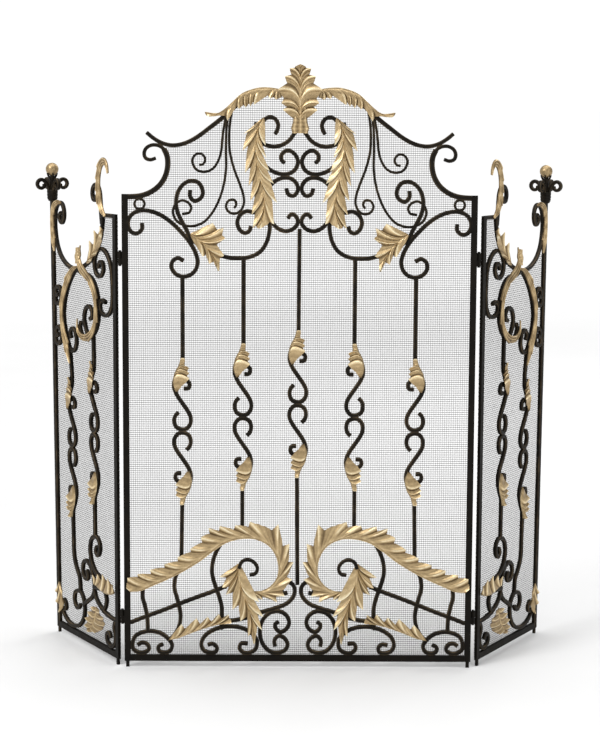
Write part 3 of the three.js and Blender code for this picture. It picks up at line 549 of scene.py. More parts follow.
shoulder_bar = [
    (-342, 919), (-325, 919), (-306, 921), (-287, 928), (-270, 941), (-259, 958), (-254, 978),
    (-255, 997), (-261, 1011),
]
shoulder_curl = [
    (-257, 1000), (-262, 1011), (-271, 1017), (-284, 1018), (-295, 1012), (-299, 1002), (-296, 993),
    (-287, 990), (-277, 993),
]
horn_bar = [
    (-294, 1042), (-282, 1032), (-267, 1023), (-249, 1018), (-231, 1019), (-213, 1025), (-194, 1036),
    (-174, 1051), (-157, 1064), (-140, 1078), (-124, 1093), (-105, 1107), (-84, 1115), (-58, 1118),
    (-30, 1117), (0, 1113),
]
whiskers = [
    [
        (-140, 1079), (-145, 1058), (-149, 1030), (-151, 1008), (-157, 988), (-168, 973), (-184, 967),
        (-198, 971), (-205, 981), (-206, 992), (-199, 1001), (-188, 1001), (-182, 992), (-185, 983),
        (-193, 980),
    ],
    [
        (-137, 1082), (-141, 1050), (-142, 1010), (-142, 972), (-147, 940), (-156, 912), (-169, 888),
        (-186, 870), (-206, 863), (-224, 865), (-238, 874), (-244, 889), (-240, 904), (-228, 912),
        (-216, 909), (-209, 899), (-213, 889), (-226, 886),
    ],
    [
        (-130, 1088), (-134, 1062), (-136, 1030), (-134, 1003), (-126, 972), (-115, 943), (-108, 920),
        (-108, 905), (-115, 892), (-127, 887), (-138, 892), (-142, 902), (-137, 912), (-127, 914),
        (-122, 906), (-126, 898),
    ],
]
thick_spiral = [
    (-211, 932), (-211, 920), (-204, 912), (-194, 914), (-187, 923), (-188, 936), (-196, 947),
    (-210, 950), (-224, 943), (-234, 929), (-238, 909), (-235, 889), (-226, 870), (-216, 851),
    (-207, 828),
]
shoulder_scroll = [
    (-304, 868), (-304, 857), (-312, 849), (-323, 850), (-330, 860), (-330, 874), (-322, 886),
    (-308, 892), (-291, 892), (-270, 885), (-250, 872), (-230, 853), (-213, 833), (-202, 814),
    (-197, 796), (-200, 780), (-210, 769), (-225, 765), (-239, 770), (-247, 782), (-245, 795),
    (-235, 801), (-224, 796),
]
crown_lines = [
    [
        (-58, 877), (-58, 856), (-63, 834), (-74, 816), (-92, 805), (-116, 801), (-140, 803), (-166, 811),
        (-190, 825), (-206, 835),
    ],
    [
        (-68, 894), (-86, 890), (-103, 892), (-115, 884), (-120, 871), (-116, 857), (-106, 850),
        (-97, 854), (-94, 863),
    ],
    [
        (-63, 890), (-54, 872), (-43, 860), (-28, 854), (-13, 858), (-4, 869), (-6, 881), (-15, 887),
        (-23, 879),
    ],
    [(-80, 1050), (-72, 1064), (-60, 1072), (-48, 1069), (-42, 1058), (-44, 1047), (-48, 1040)],
    [(-3, 1051), (-11, 1041), (-20, 1029), (-33, 1020), (-49, 1016), (-65, 1019), (-88, 1032)],
    [
        (-84, 1000), (-72, 984), (-56, 971), (-38, 964), (-20, 965), (-8, 974), (-4, 989), (-11, 1003),
        (-24, 1009), (-35, 1001), (-35, 990), (-29, 985),
    ],
    [
        (-74, 925), (-60, 938), (-49, 949), (-34, 956), (-17, 955), (-6, 945), (-4, 932), (-12, 922),
        (-22, 925), (-26, 936),
    ],
    [(-84, 1062), (-88, 1030), (-86, 990), (-78, 945), (-72, 910), (-64, 884), (-58, 866)],
]
lower_lines = [
    [(-331, 77.5), (-300, 90), (-268, 102), (-236, 115), (-200, 129), (-165, 142), (-141, 152)],
    [(-305, 150), (-307, 131), (-302, 110), (-298, 90), (-297, 74), (-297, 58)],
    [
        (-234, 188), (-242, 168), (-244, 148), (-239, 128), (-234, 108), (-232, 90), (-235, 70),
        (-245, 51), (-255, 42),
    ],
    [
        (-152, 238), (-163, 217), (-169, 195), (-169, 174), (-163, 152), (-156, 132), (-151, 112),
        (-150, 92), (-152, 64),
    ],
    [
        (-317, 32), (-307, 37), (-297, 32), (-295, 23), (-303, 17), (-316, 17), (-326, 24), (-327, 36),
        (-322, 49), (-309, 57), (-291, 60), (-272, 56), (-257, 45), (-249, 32), (-253, 20), (-263, 16.5),
        (-274, 19), (-276, 28), (-267, 34),
    ],
    [
        (-178, 33), (-167, 34), (-160, 26), (-163, 18), (-174, 16.5), (-186, 21), (-191, 33), (-186, 48),
        (-172, 60), (-152, 68), (-130, 70), (-108, 66), (-91, 56), (-81, 41), (-83, 25), (-94, 17),
        (-107, 17), (-115, 25), (-112, 35), (-99, 35),
    ],
]
foot_lines = [
    [
        (-45, 30), (-46, 42), (-38, 51), (-27, 47), (-20, 34), (-25, 22), (-39, 17), (-54, 19), (-67, 31),
        (-74, 49), (-74, 69), (-67, 87), (-53, 99), (-36, 101), (-22, 92), (-17, 78), (-22, 66),
        (-34, 59), (-43, 66), (-45, 74), (-38, 80),
    ],
    [
        (-152, 77), (-135, 81), (-105, 87), (-76, 98), (-46, 107), (-22, 117), (-9, 131), (-6, 144),
        (-10, 155), (-20, 161), (-30, 157), (-33, 147), (-29, 138), (-21, 139),
    ],
]
curl_hook = [(-116, 190), (-111, 203), (-99, 208), (-86, 202), (-80, 191), (-84, 180), (-95, 177)]

MOTIF_REACH = 141
motif_bar = [
    (1, MOTIF_REACH + 6), (0, MOTIF_REACH - 10), (-8, 116), (-15, 101), (-16, 86), (-11, 72),
    (-2, 58), (9, 42), (15.5, 29), (15.5, 15), (8, 5), (-2, 3.4), (-12, 8), (-16, 19), (-14, 30),
    (-8, 37),
]
motif_curl = [(-15, 93), (-7, 101), (5, 102), (14, 94), (12, 85), (3, 84)]
centre_balusters = [
    ((-226, 764), (-227, 462), [(-230, 196)], 1),
    ((-108, 800), (-109, 491), [(-110, 254)], 1),
    ((0, 858), (-2, 517), [(-1, 156)], 1),
    ((108, 800), (109, 491), [(110, 254)], -1),
    ((226, 764), (227, 462), [(230, 196)], -1),
]

# ---- Wings: lines of the right wing ----
POST_FOOT = 306.0
POST_LEAN = 13.0 / 897.0
HEAD = (POST_FOOT + 13.0, 897.0)
BALL_UP = 958.0
ROSETTE_DROP = -83

u_bar = [
    (75, 882), (78, 858), (88, 832), (106, 808), (130, 789), (160, 774), (195, 765), (230, 764),
    (258, 772), (280, 786), (295, 805), (303, 828), (306, 850), (303, 872), (294, 886), (281, 892),
    (268, 888), (261, 876), (262, 861), (271, 852), (281, 856), (283, 866), (275, 872),
]
rosette = [
    (308, 700), (304, 686), (293, 684), (282, 692), (279, 705), (285, 717), (297, 719), (305, 710),
    (300, 701), (291, 704),
]
hoop_near = [
    (198, 765), (178, 757), (152, 756), (125, 747), (107, 728), (98, 702), (98, 680), (106, 657),
    (122, 640), (142, 630), (163, 627), (180, 634), (187, 648), (182, 658),
]
hoop_far = [
    (196, 766), (212, 757), (230, 741), (249, 717), (262, 691), (267, 665), (262, 640), (250, 615),
    (239, 595), (234, 566),
]
upper_lines = [
    u_bar,
    [
        (80, 862), (84, 890), (90, 925), (102, 937), (115, 934), (123, 922), (119, 909), (108, 907),
        (104, 916),
    ],
    [
        (98, 774), (91, 785), (79, 785), (75, 773), (83, 761), (97, 757), (110, 764), (116, 779),
        (112, 796), (97, 810), (77, 812), (56, 802), (41, 782), (35, 756), (34, 722), (38, 701),
        (50, 687), (70, 682), (87, 688), (91.5, 700), (81, 711), (66, 708),
    ],
    hoop_near,
    hoop_far,
    [
        (146, 630), (160, 648), (167, 668), (159, 687), (144, 693), (131, 686), (129, 674), (139, 668),
    ],
    [
        (240, 598), (222, 594), (209, 604), (206, 621), (213, 636), (226, 640), (236, 630), (231, 620),
    ],
    [(25.3, 880), (76, 879)],
    rosette,
    [(279, 705), (268, 690), (262, 680)],
    [(u, z + ROSETTE_DROP) for u, z in rosette],
    [(279, 622), (268, 634), (260, 642)],
]
wing_balusters = [
    ((124, 638), (124, 440), [(124, 226)], -1),
    ((234, 570), (231, 394), [(230, 205), (227, 165), (214, 142), (202, 127), (198, 100)], -1),
]
wing_lower_lines = [
    [
        (117, 208), (122, 198), (113, 191), (103, 199), (102, 214), (112, 226), (128, 227), (143, 217),
        (149, 199), (146, 181), (134, 163), (117, 152), (96, 147),
    ],
    [
        (166, 149), (158, 140), (164, 131), (178, 133), (186, 147), (181, 162), (168, 169), (153, 165),
        (139, 151), (131, 133), (131, 112), (141, 98), (158, 88), (179, 76),
    ],
    [(146, 181), (142, 165), (139, 151)],
    [(131, 118), (121, 101), (101, 88), (78, 80), (50, 76), (26, 75)],
    [(133, 122), (106, 124), (82, 124), (72, 109), (76, 94), (86, 84)],
    [
        (199, 70), (206, 62), (219, 62), (228, 74), (225, 89), (211, 97), (196, 97), (184, 87), (178, 72),
        (179, 54), (189, 37), (207, 24), (232, 18), (257, 20), (280, 31), (298, 50),
    ],
    [(296, 47), (290, 58), (280, 62), (271, 55), (272, 45), (281, 42)],
    [
        (30, 74), (38, 60), (32, 44), (33, 28), (44, 18.5), (59, 18), (71, 26), (71, 38), (60, 43),
        (53, 34),
    ],
]


# ---- Ironwork ----
def mirror(shells):
    return [(verts * np.array([-1, 1, 1]), quads[:, ::-1], tones) for verts, quads, tones in shells]


def ring(centre, radius, width):
    angle = np.linspace(0.3, 2 * math.pi + 0.3, 25)
    circle = np.stack([centre[0] + radius * np.sin(angle), centre[1] + radius * np.cos(angle)], 1)
    return bar(circle, width, straight=True, step=1.8)


def motif_place(cross, sign, points):
    return [(cross[0] + sign * u, cross[1] + z) for u, z in points]


def point_turned(points):
    return [(-u, -z) for u, z in points]


def baluster(top, cross, foot, sign):
    halves = [motif_bar, motif_curl, point_turned(motif_bar), point_turned(motif_curl)]
    placed = [motif_place(cross, sign, points) for points in halves]
    rods = [bar([top, placed[0][0]], step=3), bar([placed[2][0], *foot], step=3)]
    return [*rods, *bars(placed)]


def leaning_post():
    line = [(POST_FOOT, 0), (POST_FOOT + POST_LEAN * 450, 450), HEAD]
    return bar(line, FRAME_WIDTH, step=4)


FLEUR_SCROLL = [
    (4, -3), (5, 8), (7, 19), (12, 31), (18, 38), (25, 40.5), (31, 37), (33, 31), (30, 25), (24, 22.8),
    (18.5, 26), (18, 31),
]
FLEUR_BAR = 8.2
CLAW = [(5, 41), (7.6, 45), (9.8, 49), (11.2, 53)]
CLAW_WIDTH, CLAW_HALF_DEPTH, CLAW_TURN = 3.2, 1.7, 15
GRIP = [
    (4, -3), (8.2, -2.4), (10.2, 0.5), (10.9, 4.5), (10.1, 5.6), (10.9, 6.8), (11.2, 11), (10.3, 12.2),
    (11.2, 13.4), (11.2, 17.5), (9.8, 19.6), (5, 20.2),
]
NECK = [(5.2, 18), (5.6, 39), (7.4, 42), (7.9, 44.5), (7.0, 47.4), (3.0, 47.7)]


def stand_upright(shell, turn, centre):
    """Turns a shell drawn in the plane through the post's axis about that axis."""
    verts, quads, tones = shell
    c, s = math.cos(turn), math.sin(turn)
    across, deep, up = verts.T
    turned = [across * c - deep * s + centre[0], across * s + deep * c + BAR_DEPTH / 2, up + centre[1]]
    return np.stack(turned, 1), quads, tones


def fleur():
    half = FLEUR_BAR / 2
    shells = []
    for quarter in range(4):
        scroll = bar(FLEUR_SCROLL, FLEUR_BAR, depth=(-half, half), step=1.8, ends=(1, 0.8))
        shells.append(stand_upright(scroll, math.radians(90 * quarter), HEAD))
    for sixth in range(6):
        claw = bar(CLAW, CLAW_WIDTH, depth=(-CLAW_HALF_DEPTH, CLAW_HALF_DEPTH), step=1.6, ends=(1, 0.5))
        shells.append(stand_upright(claw, math.radians(60 * sixth + CLAW_TURN), HEAD))
    for profile in (GRIP, NECK):
        shells.append(lathe([(r, z + HEAD[1]) for r, z in profile], (HEAD[0], BAR_DEPTH / 2), sides=20))
    return shells


def both_halves(half):
    return [*half, *mirror(half)]


HORN_TAPER = 0.72
crest_half = [
    bar(shoulder_bar, FLAT_BAR), bar(shoulder_curl, CURL_BAR),
    bar(horn_bar, HORN_BAR, ends=(HORN_TAPER, 1.0)),
]
shoulder_half = [
    *bars([thick_spiral, shoulder_scroll]), *bars(whiskers, WHISKER_BAR),
    ring(RING_CENTRE, RING_RADIUS, RING_BAR),
]
make_piece("crest_bars", both_halves(crest_half), "iron", "crest")
for side in ("left", "right"):
    flipped = side == "right"
    make_piece(f"shoulder_bars_{side}", shoulder_half, "iron", f"shoulder_scrolls_{side}", mirrored=flipped)
    make_piece(f"lower_bars_{side}", bars(lower_lines), "iron", f"lower_scrolls_{side}", mirrored=flipped)
make_piece("crown_bars", both_halves(bars(crown_lines)), "iron", "crown_scrolls")
make_piece("foot_bars", both_halves(bars(foot_lines)), "iron", "foot_scrolls")
for i, places in enumerate(centre_balusters, 1):
    make_piece(f"baluster_bars_{i}", baluster(*places), "iron", f"baluster_{i}")


# ---- Gilded leaves ----
def pendant_leaf():
    spine = [
        (-71, 1071), (-80, 1052), (-84, 1028), (-85, 1004), (-82, 982), (-77, 960), (-71, 932),
        (-68, 905), (-71, 880), (-78, 860),
    ]
    outer = blade(
        spine, (-72, 1071),
        [(-108.5, 1040, -100, 1046), (-110.5, 1008, -100, 1017), (-105.5, 966, -95, 977),
         (-98.5, 941, -90, 952), (-95.5, 912, -86, 923), (-92.5, 886, -84, 896), (-90.5, 860, -84, 864),
         (-79, 859)],
        (-78, 860), lag=40, hug=0.3, bulge=0.05,
    )
    inner = blade(
        spine, (-69, 1072),
        [(-66, 1019, -75, 1029), (-64, 995, -74, 1006), (-58, 970, -69, 982), (-50, 946, -62, 960),
         (-43.5, 909, -56, 924), (-49, 868, -58, 872), (-76, 859)],
        (-78, 860), lag=38, hug=0.42, relief=4.6, level=1.6, glow=0.16, bulge=0.10,
    )
    return [outer, inner]


def fan_leaf():
    spine = [(-211, 848), (-197, 838), (-184, 827), (-173, 814), (-164, 799), (-156, 778)]
    upper = blade(
        spine, (-209, 850),
        [(-167, 870, -158.5, 856.5), (-146.5, 861, -149, 846), (-143, 840, -159.5, 828),
         (-145.5, 807, -153, 802), (-155, 777)],
        (-157, 777), lag=24, hug=0.34, relief=4.4, glow=0.06, bulge=-0.1,
    )
    lower = blade(
        spine, (-211, 846), [(-187, 805, -181, 808), (-174, 791, -166, 795), (-157, 777)],
        (-156, 777), lag=24, hug=0.3, relief=3.8, level=1.3,
    )
    return [upper, lower]


def finial_leaf():
    """The crowning leaf: mirrored lobes up a stem, over a fluted bell."""
    stem = [(0, 1062), (0, 1090), (0, 1130), (0, 1172)]
    half = blade(
        stem, (13, 1070),
        [(33, 1086.5, 26, 1092), (36, 1099.5, 31, 1108), (42, 1126, 25, 1137), (29.5, 1150, 17, 1153),
         (20.5, 1165, 11, 1166), (0.3, 1173)],
        (0, 1173), bases=[0, 0.10, 0.20, 0.40, 0.60, 0.80, 1], hug=0.55, relief=4.2, level=7.4, curl=4.0,
        bulge=0.14,
    )
    drop = [(0, 1092), (0, 1075), (0, 1058), (0, 1042)]
    bell = ribbon(drop, [12, 13.5, 13, 14, 17.5, 15], lift=3.2, level=6.2)
    return [half, *mirror([half]), bell]


def arch_leaf():
    top = [
        (-34, 1125), (-55, 1128.5), (-75, 1129), (-95, 1124.5), (-112, 1117), (-130, 1101), (-143, 1089),
        (-157, 1080), (-169, 1080), (-181, 1082),
    ]
    return [blade(
        top, (-34, 1110),
        [(-46, 1106, -51, 1110), (-58, 1107.5, -62, 1113.5), (-88, 1096, -90, 1101), (-95, 1092.5, -98, 1098),
         (-104, 1090, -108, 1095.5), (-117, 1088, -121, 1093), (-138.5, 1065.5, -143, 1074), (-176, 1073)],
        (-180, 1076), lag=30, hug=0.5, relief=3.4, level=1.2, crown=(-0.8, 1.6, 1.4, 0.2), bulge=-0.10,
        calm=0.42, serrate=0.6,
    )]


def acanthus_leaf():
    inner = [
        (-100, 144), (-76, 143), (-57, 151), (-42, 170), (-39, 192), (-45, 216), (-58, 234), (-80, 246),
        (-108, 248), (-138, 241), (-165, 224), (-192, 203), (-222, 184), (-252, 168), (-285, 153),
        (-312, 142), (-330, 141),
    ]
    return [blade(
        inner, (-96, 134),
        [
            (-70, 127, -70, 132), (-41, 122, -43, 132), (-26, 134, -31, 144), (-12, 168, -22, 172),
            (-9, 203, -19, 202), (-17, 240, -30, 234), (-39, 279, -52, 266), (-95, 284, -98, 272),
            (-123, 277, -127, 267), (-154, 275, -156, 264), (-176, 271, -174, 259),
            (-191, 252, -189, 241), (-212, 229, -211, 222), (-237, 212, -237, 203),
            (-263, 198, -263, 190), (-291, 187, -290, 177), (-316, 178, -316, 171),
            (-336, 170, -336, 160), (-338, 149),
        ],
        (-332, 141), lag=48, hug=0.42, relief=3.4, level=1.4, crown=(-0.8, 1.6, 2.4, 0.2), bulge=0.05,
        glow=0.06, calm=0.36, serrate=1.6,
    )]


def curl_leaf():
    spine = [
        (-116, 200), (-117, 175), (-113, 152), (-105, 129), (-98, 108), (-91, 86), (-87, 65), (-86, 38),
    ]
    left = blade(
        spine, (-117, 200),
        [(-155, 174, -141, 171), (-149, 152, -136, 153), (-142, 138, -128, 142), (-129, 108, -117, 116),
         (-113, 85, -100, 93), (-98, 54, -92, 59), (-87, 38)],
        (-86, 37), lag=34, hug=0.3, relief=4.2, level=5.6, bulge=0.04, glow=0.04,
    )
    right = blade(
        spine, (-115, 200),
        [(-76, 124, -91, 134), (-68, 94, -83, 106), (-70.5, 67, -80, 73), (-85, 38)],
        (-86, 37), lag=44, hug=0.5, relief=5.0, level=6.0, glow=0.14, bulge=0.02,
    )
    return [left, right]


def sprig_leaf():
    spine = [(-256, 43), (-236, 47), (-214, 56), (-190, 65), (-165, 73), (-132, 78)]
    return [blade(
        spine, (-254, 46),
        [(-230, 77, -223, 66), (-200, 89, -193, 76), (-178, 92, -171, 81), (-156, 98, -150, 87),
         (-137, 97, -135, 88), (-131, 79)],
        (-131, 78), lag=32, hug=0.42, relief=3.8, level=1.2, crown=(-0.4, 1.8, 1.8, 0.2), glow=0.08,
        bulge=0.05, calm=0.2,
    )]


CUFF_SPINE = [(-13, 77), (-18, 92), (-18, 104), (-14, 118), (-7, 131), (-3.2, 145)]
CUFF_TIPS = [(13.8, 105.5, 9.5, 110), (13.4, 116, 10, 119.5), (13.2, 126.5, 5.6, 128), (4.8, 145)]


def baluster_cuff(cross, sign):
    """The small leaf wrapped round a baluster's swell, above the crossing, and its twin below."""
    shells = []
    for turn in (1, -1):
        def place(*points):
            return motif_place(cross, sign, [(turn * u, turn * z) for u, z in points])

        tips = [tuple(np.ravel(place(*np.reshape(tip, (-1, 2))))) for tip in CUFF_TIPS]
        shells.append(blade(
            place(*CUFF_SPINE), place((-8, 79))[0], tips, place((0, 146))[0], bases=[0, 0.45, 0.6, 0.75, 1],
            hug=0.5, relief=3.0, level=1.6, crown=(-1.2, 1.0, 2.6, 0.6), bulge=-0.16,
        ))
    return shells


def wing_low_leaves():
    """A fan by the hinge post, a broad leaf on the rail and a slim one by the outer post."""
    fan = blade(
        [(118, 130), (98, 124), (72, 121), (46, 124), (26, 131)], (122, 134),
        [(120, 150, 108, 142), (96, 156, 86, 145), (72, 161, 62, 148), (48, 158, 40, 146),
         (27, 146, 26, 138)],
        (24, 134), lag=8, hug=0.2, relief=3.4, crown=(-0.4, 1.2, 1.6, 0.2), bulge=0.1,
    )
    stem = [(112, 86), (113, 72), (120, 57), (132, 42), (150, 27)]
    broad_near = blade(
        stem, (108, 84),
        [(90, 79, 92, 71), (70, 71, 78, 62), (66, 56, 80, 50), (84, 42, 96, 40), (112, 31, 122, 31),
         (148, 25)],
        (152, 26), bases=[0, 0.1, 0.25, 0.42, 0.6, 0.8, 1], hug=0.3, relief=3.0,
    )
    broad_far = blade(
        stem, (115, 84),
        [(130, 82, 132, 71), (146, 68, 146, 58), (158, 52, 154, 44), (162, 36, 158, 30), (154, 26)],
        (152, 26), bases=[0, 0.12, 0.35, 0.6, 0.85, 1], hug=0.3, relief=3.0,
    )
    slim_line = [(296, 98), (290, 84), (286, 68), (288, 50), (290, 34)]
    slim_ends = [
        ((294, 98), [(270, 70, 276, 64), (266, 54, 276, 50), (290, 34)]),
        ((297, 98), [(308, 76, 302, 72), (306, 54, 298, 50), (291, 34)]),
    ]
    slim = [blade(slim_line, first, tips, (290, 33), hug=0.3, relief=3.0) for first, tips in slim_ends]
    return [fan, broad_near, broad_far, *slim]


def wing_top_leaf():
    spine = [
        (41, 962), (44, 974), (52, 983), (64, 984), (75, 975), (82, 958), (84, 936), (81, 912), (72, 892),
        (55, 878),
    ]
    teeth = [(0.36, 1, 5), (0.5, 1, 6), (0.64, 1, 6), (0.78, 1, 5)]
    return [ribbon(spine, [3, 6.5, 7.5, 8, 9, 9.5, 9.5, 9.5, 8, 6, 2], teeth)]


def wing_side_leaf():
    stem = [(144, 781), (126, 792), (106, 808), (88, 828), (70, 850)]
    upper = blade(
        stem, (140, 788), [(120, 826, 110, 818), (98, 848, 88, 840), (70, 858)],
        (62, 850), lag=34, hug=0.4, relief=3.0, bulge=0.05,
    )
    lower = blade(
        stem, (142, 778), [(112, 786, 108, 796), (86, 803, 82, 814), (60, 838)],
        (64, 850), lag=30, hug=0.4, relief=3.4, level=1.3, bulge=0.0,
    )
    return [upper, lower]


def wing_outer_leaf():
    spine = [(264, 892), (282, 893), (299, 885), (308, 868), (309, 846), (306, 822), (300, 792)]
    teeth = [(0.42, -1, 3.5), (0.62, -1, 4), (0.82, -1, 3.5)]
    return [ribbon(spine, [2, 5, 6.5, 7.5, 8, 7.5, 6, 2], teeth)]


def hoop_leaf():
    near = [
        (183, 808), (179, 788), (167, 769), (144, 756), (119, 742), (102, 716), (98, 690), (102, 664),
        (118, 643), (142, 631), (168, 630), (185, 642), (187, 664),
    ]
    far = [
        (186, 769), (206, 763), (224, 749), (246, 722), (261, 692), (265, 662), (256, 630), (243, 602),
        (228, 568),
    ]
    prongs = [
        ribbon([(180, 778), (174, 797), (169, 813)], [8, 6.5, 1.5], level=2.6),
        ribbon([(184, 776), (186, 792), (186, 804)], [6, 5, 1.5], level=2.9),
    ]
    near_teeth = [(0.3, 1, -4.0), (0.44, -1, 6.5), (0.58, -1, 6.5), (0.76, -1, 3)]
    far_teeth = [(0.26, 1, 5), (0.52, 1, 5), (0.84, -1, 6), (0.9, 1, 4)]
    return [
        ribbon(far, [2, 6, 8, 8, 7, 7.5, 8, 7, 1.5], far_teeth, level=2.0),
        *prongs,
        ribbon(near, [5, 7.5, 9, 9, 8.5, 7, 6.5, 6.5, 7, 7.5, 7, 5, 1.5], near_teeth, level=2.8),
    ]


HOOK_DEPTH = (-10.0, -3.5)
centre_leaves = {
    "arch_leaf": arch_leaf(), "pendant_leaf": pendant_leaf(), "fan_leaf": fan_leaf(),
    "acanthus_leaf": acanthus_leaf(), "curl_leaf": curl_leaf(), "sprig_leaf": sprig_leaf(),
}
for side in ("left", "right"):
    flipped = side == "right"
    for name, shells in centre_leaves.items():
        make_piece(f"{name}_{side}_gilt", shells, "gold", f"{name}_{side}", mirrored=flipped)
    hook = [bar(curl_hook, CURL_BAR, depth=HOOK_DEPTH)]
    make_piece(f"curl_hook_{side}", hook, "iron", mirrored=flipped)
make_piece("finial_leaf_gilt", finial_leaf(), "gold", "finial_leaf")
for i, (_, cross, _, sign) in enumerate(centre_balusters, 1):
    make_piece(f"baluster_cuffs_{i}", baluster_cuff(cross, sign), "gold")


# ---- Wings ----
BALL_PROFILE = [
    (3.0, -13.4), (5.0, -12.9), (8.2, -10.6), (11.0, -7.4), (12.7, -3.6), (13.2, 0.0), (12.8, 3.6),
    (11.3, 7.0), (8.9, 9.9), (5.8, 12.0), (2.6, 13.1), (0.9, 13.3),
]
PEG_WIDTH, PEG_LOW, PEG_HIGH = 6.5, -12, 2
wing_leaves = {
    "top_leaf": wing_top_leaf(), "side_leaf": wing_side_leaf(), "outer_leaf": wing_outer_leaf(),
    "hoop_leaves": hoop_leaf(),
}
for side in ("right_wing", "left_wing"):
    make_piece(f"{side}_upper_bars", bars(upper_lines), "iron", f"{side}_upper_scrolls", side)
    make_piece(f"{side}_lower_bars", bars(wing_lower_lines), "iron", f"{side}_lower_scrolls", side)
    for i, (top, cross, foot, sign) in enumerate(wing_balusters, 1):
        rods = baluster(top, cross, foot, sign)
        make_piece(f"{side}_baluster_bars_{i}", rods, "iron", f"{side}_baluster_{i}", side)
        make_piece(f"{side}_baluster_cuffs_{i}", baluster_cuff(cross, sign), "gold", body=side)
    peg_line = [(POST_FOOT, PEG_LOW), (POST_FOOT, PEG_HIGH)]
    peg = bar(peg_line, PEG_WIDTH, depth=(1, BAR_DEPTH - 1), step=6)
    make_piece(f"{side}_outer_post_bar", [leaning_post(), peg, *fleur()], "iron", f"{side}_outer_post", side)
    turned = lathe([(r, z + BALL_UP) for r, z in BALL_PROFILE], (HEAD[0], BAR_DEPTH / 2))
    make_piece(f"{side}_gilt_ball", [turned], "gold", f"{side}_ball", side)
    for name, shells in wing_leaves.items():
        make_piece(f"{side}_{name}_gilt", shells, "gold", f"{side}_{name}", side)
    make_piece(f"{side}_low_leaves_gilt", wing_low_leaves(), "gold", body=side)


# ---- Woven wire ----
def inside(points, outline):
    """Which points lie inside an outline, by counting crossings to their right."""
    x, y = points.T
    count = np.zeros(len(points), int)
    for (x0, y0), (x1, y1) in zip(outline, np.roll(outline, -1, axis=0)):
        spans = (y0 > y) != (y1 > y)
        if y0 != y1:
            count += spans & (x < (x1 - x0) * (y - y0) / (y1 - y0) + x0)
    return count % 2 == 1


WIRE_SIDES = 3
UP_WIRE, ACROSS_WIRE = 0.30, 0.50  # wire radii: those that run across are the heavier


def crimped_wire(line, radius):
    """A three-sided wire through [across, depth, up] points: vertices, quads and end caps."""
    direction = np.gradient(line, axis=0)
    flat = np.array([0.0, 1.0, 0.0])
    side = np.cross(direction, flat)
    side /= np.linalg.norm(side, axis=1, keepdims=True)
    rings = []
    for k in range(WIRE_SIDES):
        angle = 2 * math.pi * k / WIRE_SIDES - math.pi / 2
        rings.append(line + radius * (math.cos(angle) * side + math.sin(angle) * flat))
    end = (len(line) - 1) * WIRE_SIDES
    caps = np.array([[2, 1, 0], [end, end + 1, end + 2]])
    return np.stack(rings, 1).reshape(-1, 3), tube_walls(len(line), WIRE_SIDES), caps


def woven(outline, openings=()):
    """Two crossing sets of crimped wires cut to an outline: those that run up, and those across."""
    outline = np.array(outline, float)
    low, high = outline.min(0), outline.max(0)
    across = np.arange(low[0] + WIRE_PITCH / 2, high[0], WIRE_PITCH)
    up = np.arange(low[1] + WIRE_PITCH / 2, high[1], WIRE_PITCH)
    grid = np.stack(np.meshgrid(across, up, indexing="ij"), -1)
    kept = inside(grid.reshape(-1, 2), outline).reshape(grid.shape[:2])
    for hole in openings:
        kept &= ~inside(grid.reshape(-1, 2), np.array(hole, float)).reshape(grid.shape[:2])
    phase = 1 - 2 * ((np.arange(len(across))[:, None] + np.arange(len(up))[None, :]) % 2)
    sets = []
    for turned, radius in ((False, UP_WIRE), (True, ACROSS_WIRE)):
        deep = BAR_DEPTH + WIRE_STAND_OFF + (1 - 2 * turned) * WIRE_CRIMP * phase
        points = np.stack([grid[..., 0], deep, grid[..., 1]], -1)
        rows, mask = (points.swapaxes(0, 1), kept.T) if turned else (points, kept)
        wires = []
        for row, used in zip(rows, mask):
            edges = np.flatnonzero(np.diff(np.concatenate([[0], used, [0]])))
            for first, last in edges.reshape(-1, 2):
                if last - first > 2:
                    wires.append(crimped_wire(row[first:last], radius))
        sets.append(wires)
    return sets


def make_wire_piece(name, wires, body, replaced):
    verts, walls, caps = zip(*wires)
    faces = [joined(verts, walls), joined(verts, caps)]
    add_piece(name, np.vstack(verts), faces, "wire_mesh", body, False, replaced)


MESH_LOW = 3  # above the rail's lower edge
MESH_INSET = 4  # from the posts' outer sides
mesh_side = -PANEL_HALF + MESH_INSET
mesh_edge = np.array([
    (mesh_side, MESH_LOW), (mesh_side, 915), *shoulder_bar[2:], (-258, 1014), *horn_bar[4:-1], (0, 1116),
])
mesh_whole = np.vstack([mesh_edge, mesh_edge[:-1][::-1] * np.array([-1, 1])])
halves = []
for wires in woven(mesh_whole):
    halves += [wires[: len(wires) // 2], wires[len(wires) // 2 :]]
for k, wires in enumerate(halves, 1):
    make_wire_piece(f"centre_wire_{k}", wires, "centre_panel", "mesh_centre")

WING_MESH_NEAR, WING_MESH_CORNER = 16.9, 790  # by the hinge post, and where it leaves the outer post
wing_edge = [
    (WING_MESH_NEAR, MESH_LOW), (POST_FOOT, MESH_LOW),
    (POST_FOOT + POST_LEAN * WING_MESH_CORNER, WING_MESH_CORNER),
    *u_bar[:10][::-1], (WING_MESH_NEAR, 879),
]
slot_edge = [(283, 642), (294, 642), (294, 686), (283, 686)]  # the gap between a wing's two rosettes
wing_wires = sum(woven(wing_edge, [slot_edge]), [])
for side in ("right_wing", "left_wing"):
    make_wire_piece(f"{side}_wire", wing_wires, side, f"{side}_mesh")


# ---- Posts, rails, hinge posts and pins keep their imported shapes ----
EASED_EDGE = 1.1 * MM
EASED_ABOVE = math.radians(50)

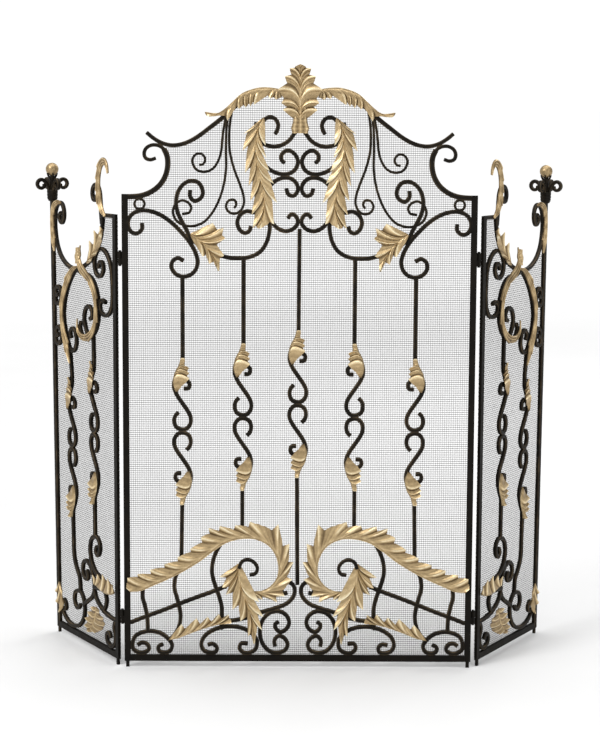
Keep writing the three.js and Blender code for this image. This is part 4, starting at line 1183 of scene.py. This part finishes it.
for name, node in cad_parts.items():
    if not node.hide_render and any(word in name for word in ("post", "rail", "pin")):
        node.data.materials.clear()
        node.data.materials.append(MATERIALS["iron"])
        softened = node.modifiers.new("eased_edges", "BEVEL")
        softened.width = EASED_EDGE
        softened.segments = 2
        softened.limit_method = "ANGLE"
        softened.angle_limit = EASED_ABOVE


# ---- Floor, light ----
FLOOR_REACH = 60.0
BACKDROP_GLOW, FILL_GLOW = 1.05, 0.38  # the surroundings as the camera sees them, and as they light
AIM = (0, 0, 0.6)


def make_floor():
    """A plain pale floor that runs on to meet the white surroundings."""
    mesh = bpy.data.meshes.new("studio_floor")
    corners = [(x * FLOOR_REACH, y * FLOOR_REACH, 0) for x, y in ((-1, -1), (1, -1), (1, 1), (-1, 1))]
    mesh.from_pydata(corners, [], [(0, 1, 2, 3)])
    material, tree, shader = new_material("pale_paper")
    place = tree.nodes.new("ShaderNodeVectorMath")
    place.operation = "LENGTH"
    tree.links.new(tree.nodes.new("ShaderNodeTexCoord").outputs["Object"], place.inputs[0])
    away = math_node(tree, "DIVIDE", place.outputs["Value"], FLOOR_REACH)
    paper = math_node(tree, "MULTIPLY", noise_node(tree, 3, 2), 0.01)
    shade = ramp_node(tree, math_node(tree, "ADD", away, paper), [(0.03, (0.67,) * 3), (0.13, (0.95,) * 3)])
    tree.links.new(shade, shader.inputs["Base Color"])
    shader.inputs["Roughness"].default_value = 0.9
    mesh.materials.append(material)
    floor = bpy.data.objects.new("studio_floor", mesh)
    bpy.context.scene.collection.objects.link(floor)


def add_light(name, kind, place, energy, size):
    data = bpy.data.lights.new(name, kind)
    data.energy = energy
    if kind == "SUN":
        data.angle = size
    else:
        data.size = size
    light = bpy.data.objects.new(name, data)
    light.location = place
    light.rotation_euler = (Vector(place) - Vector(AIM)).to_track_quat("Z", "Y").to_euler()
    bpy.context.scene.collection.objects.link(light)


def make_surroundings():
    world = bpy.data.worlds.new("studio")
    world.use_nodes = True
    nodes, links = world.node_tree.nodes, world.node_tree.links
    glow = nodes.new("ShaderNodeMapRange")
    glow.inputs["To Min"].default_value = FILL_GLOW
    glow.inputs["To Max"].default_value = BACKDROP_GLOW
    links.new(nodes.new("ShaderNodeLightPath").outputs["Is Camera Ray"], glow.inputs["Value"])
    links.new(glow.outputs["Result"], nodes["Background"].inputs["Strength"])
    nodes["Background"].inputs["Color"].default_value = (1, 1, 1, 1)
    bpy.context.scene.world = world
    bpy.context.scene.view_settings.view_transform = "Standard"


make_floor()
add_light("key_window", "AREA", (-2.4, -2.4, 3.4), 105, 1.2)
add_light("fill_window", "AREA", (2.8, -2.6, 1.8), 20, 1.6)
add_light("rear_window", "AREA", (1.8, 2.8, 2.8), 40, 1.6)
add_light("overhead", "SUN", (0, 0, 4), 2.3, math.radians(70))
make_surroundings()
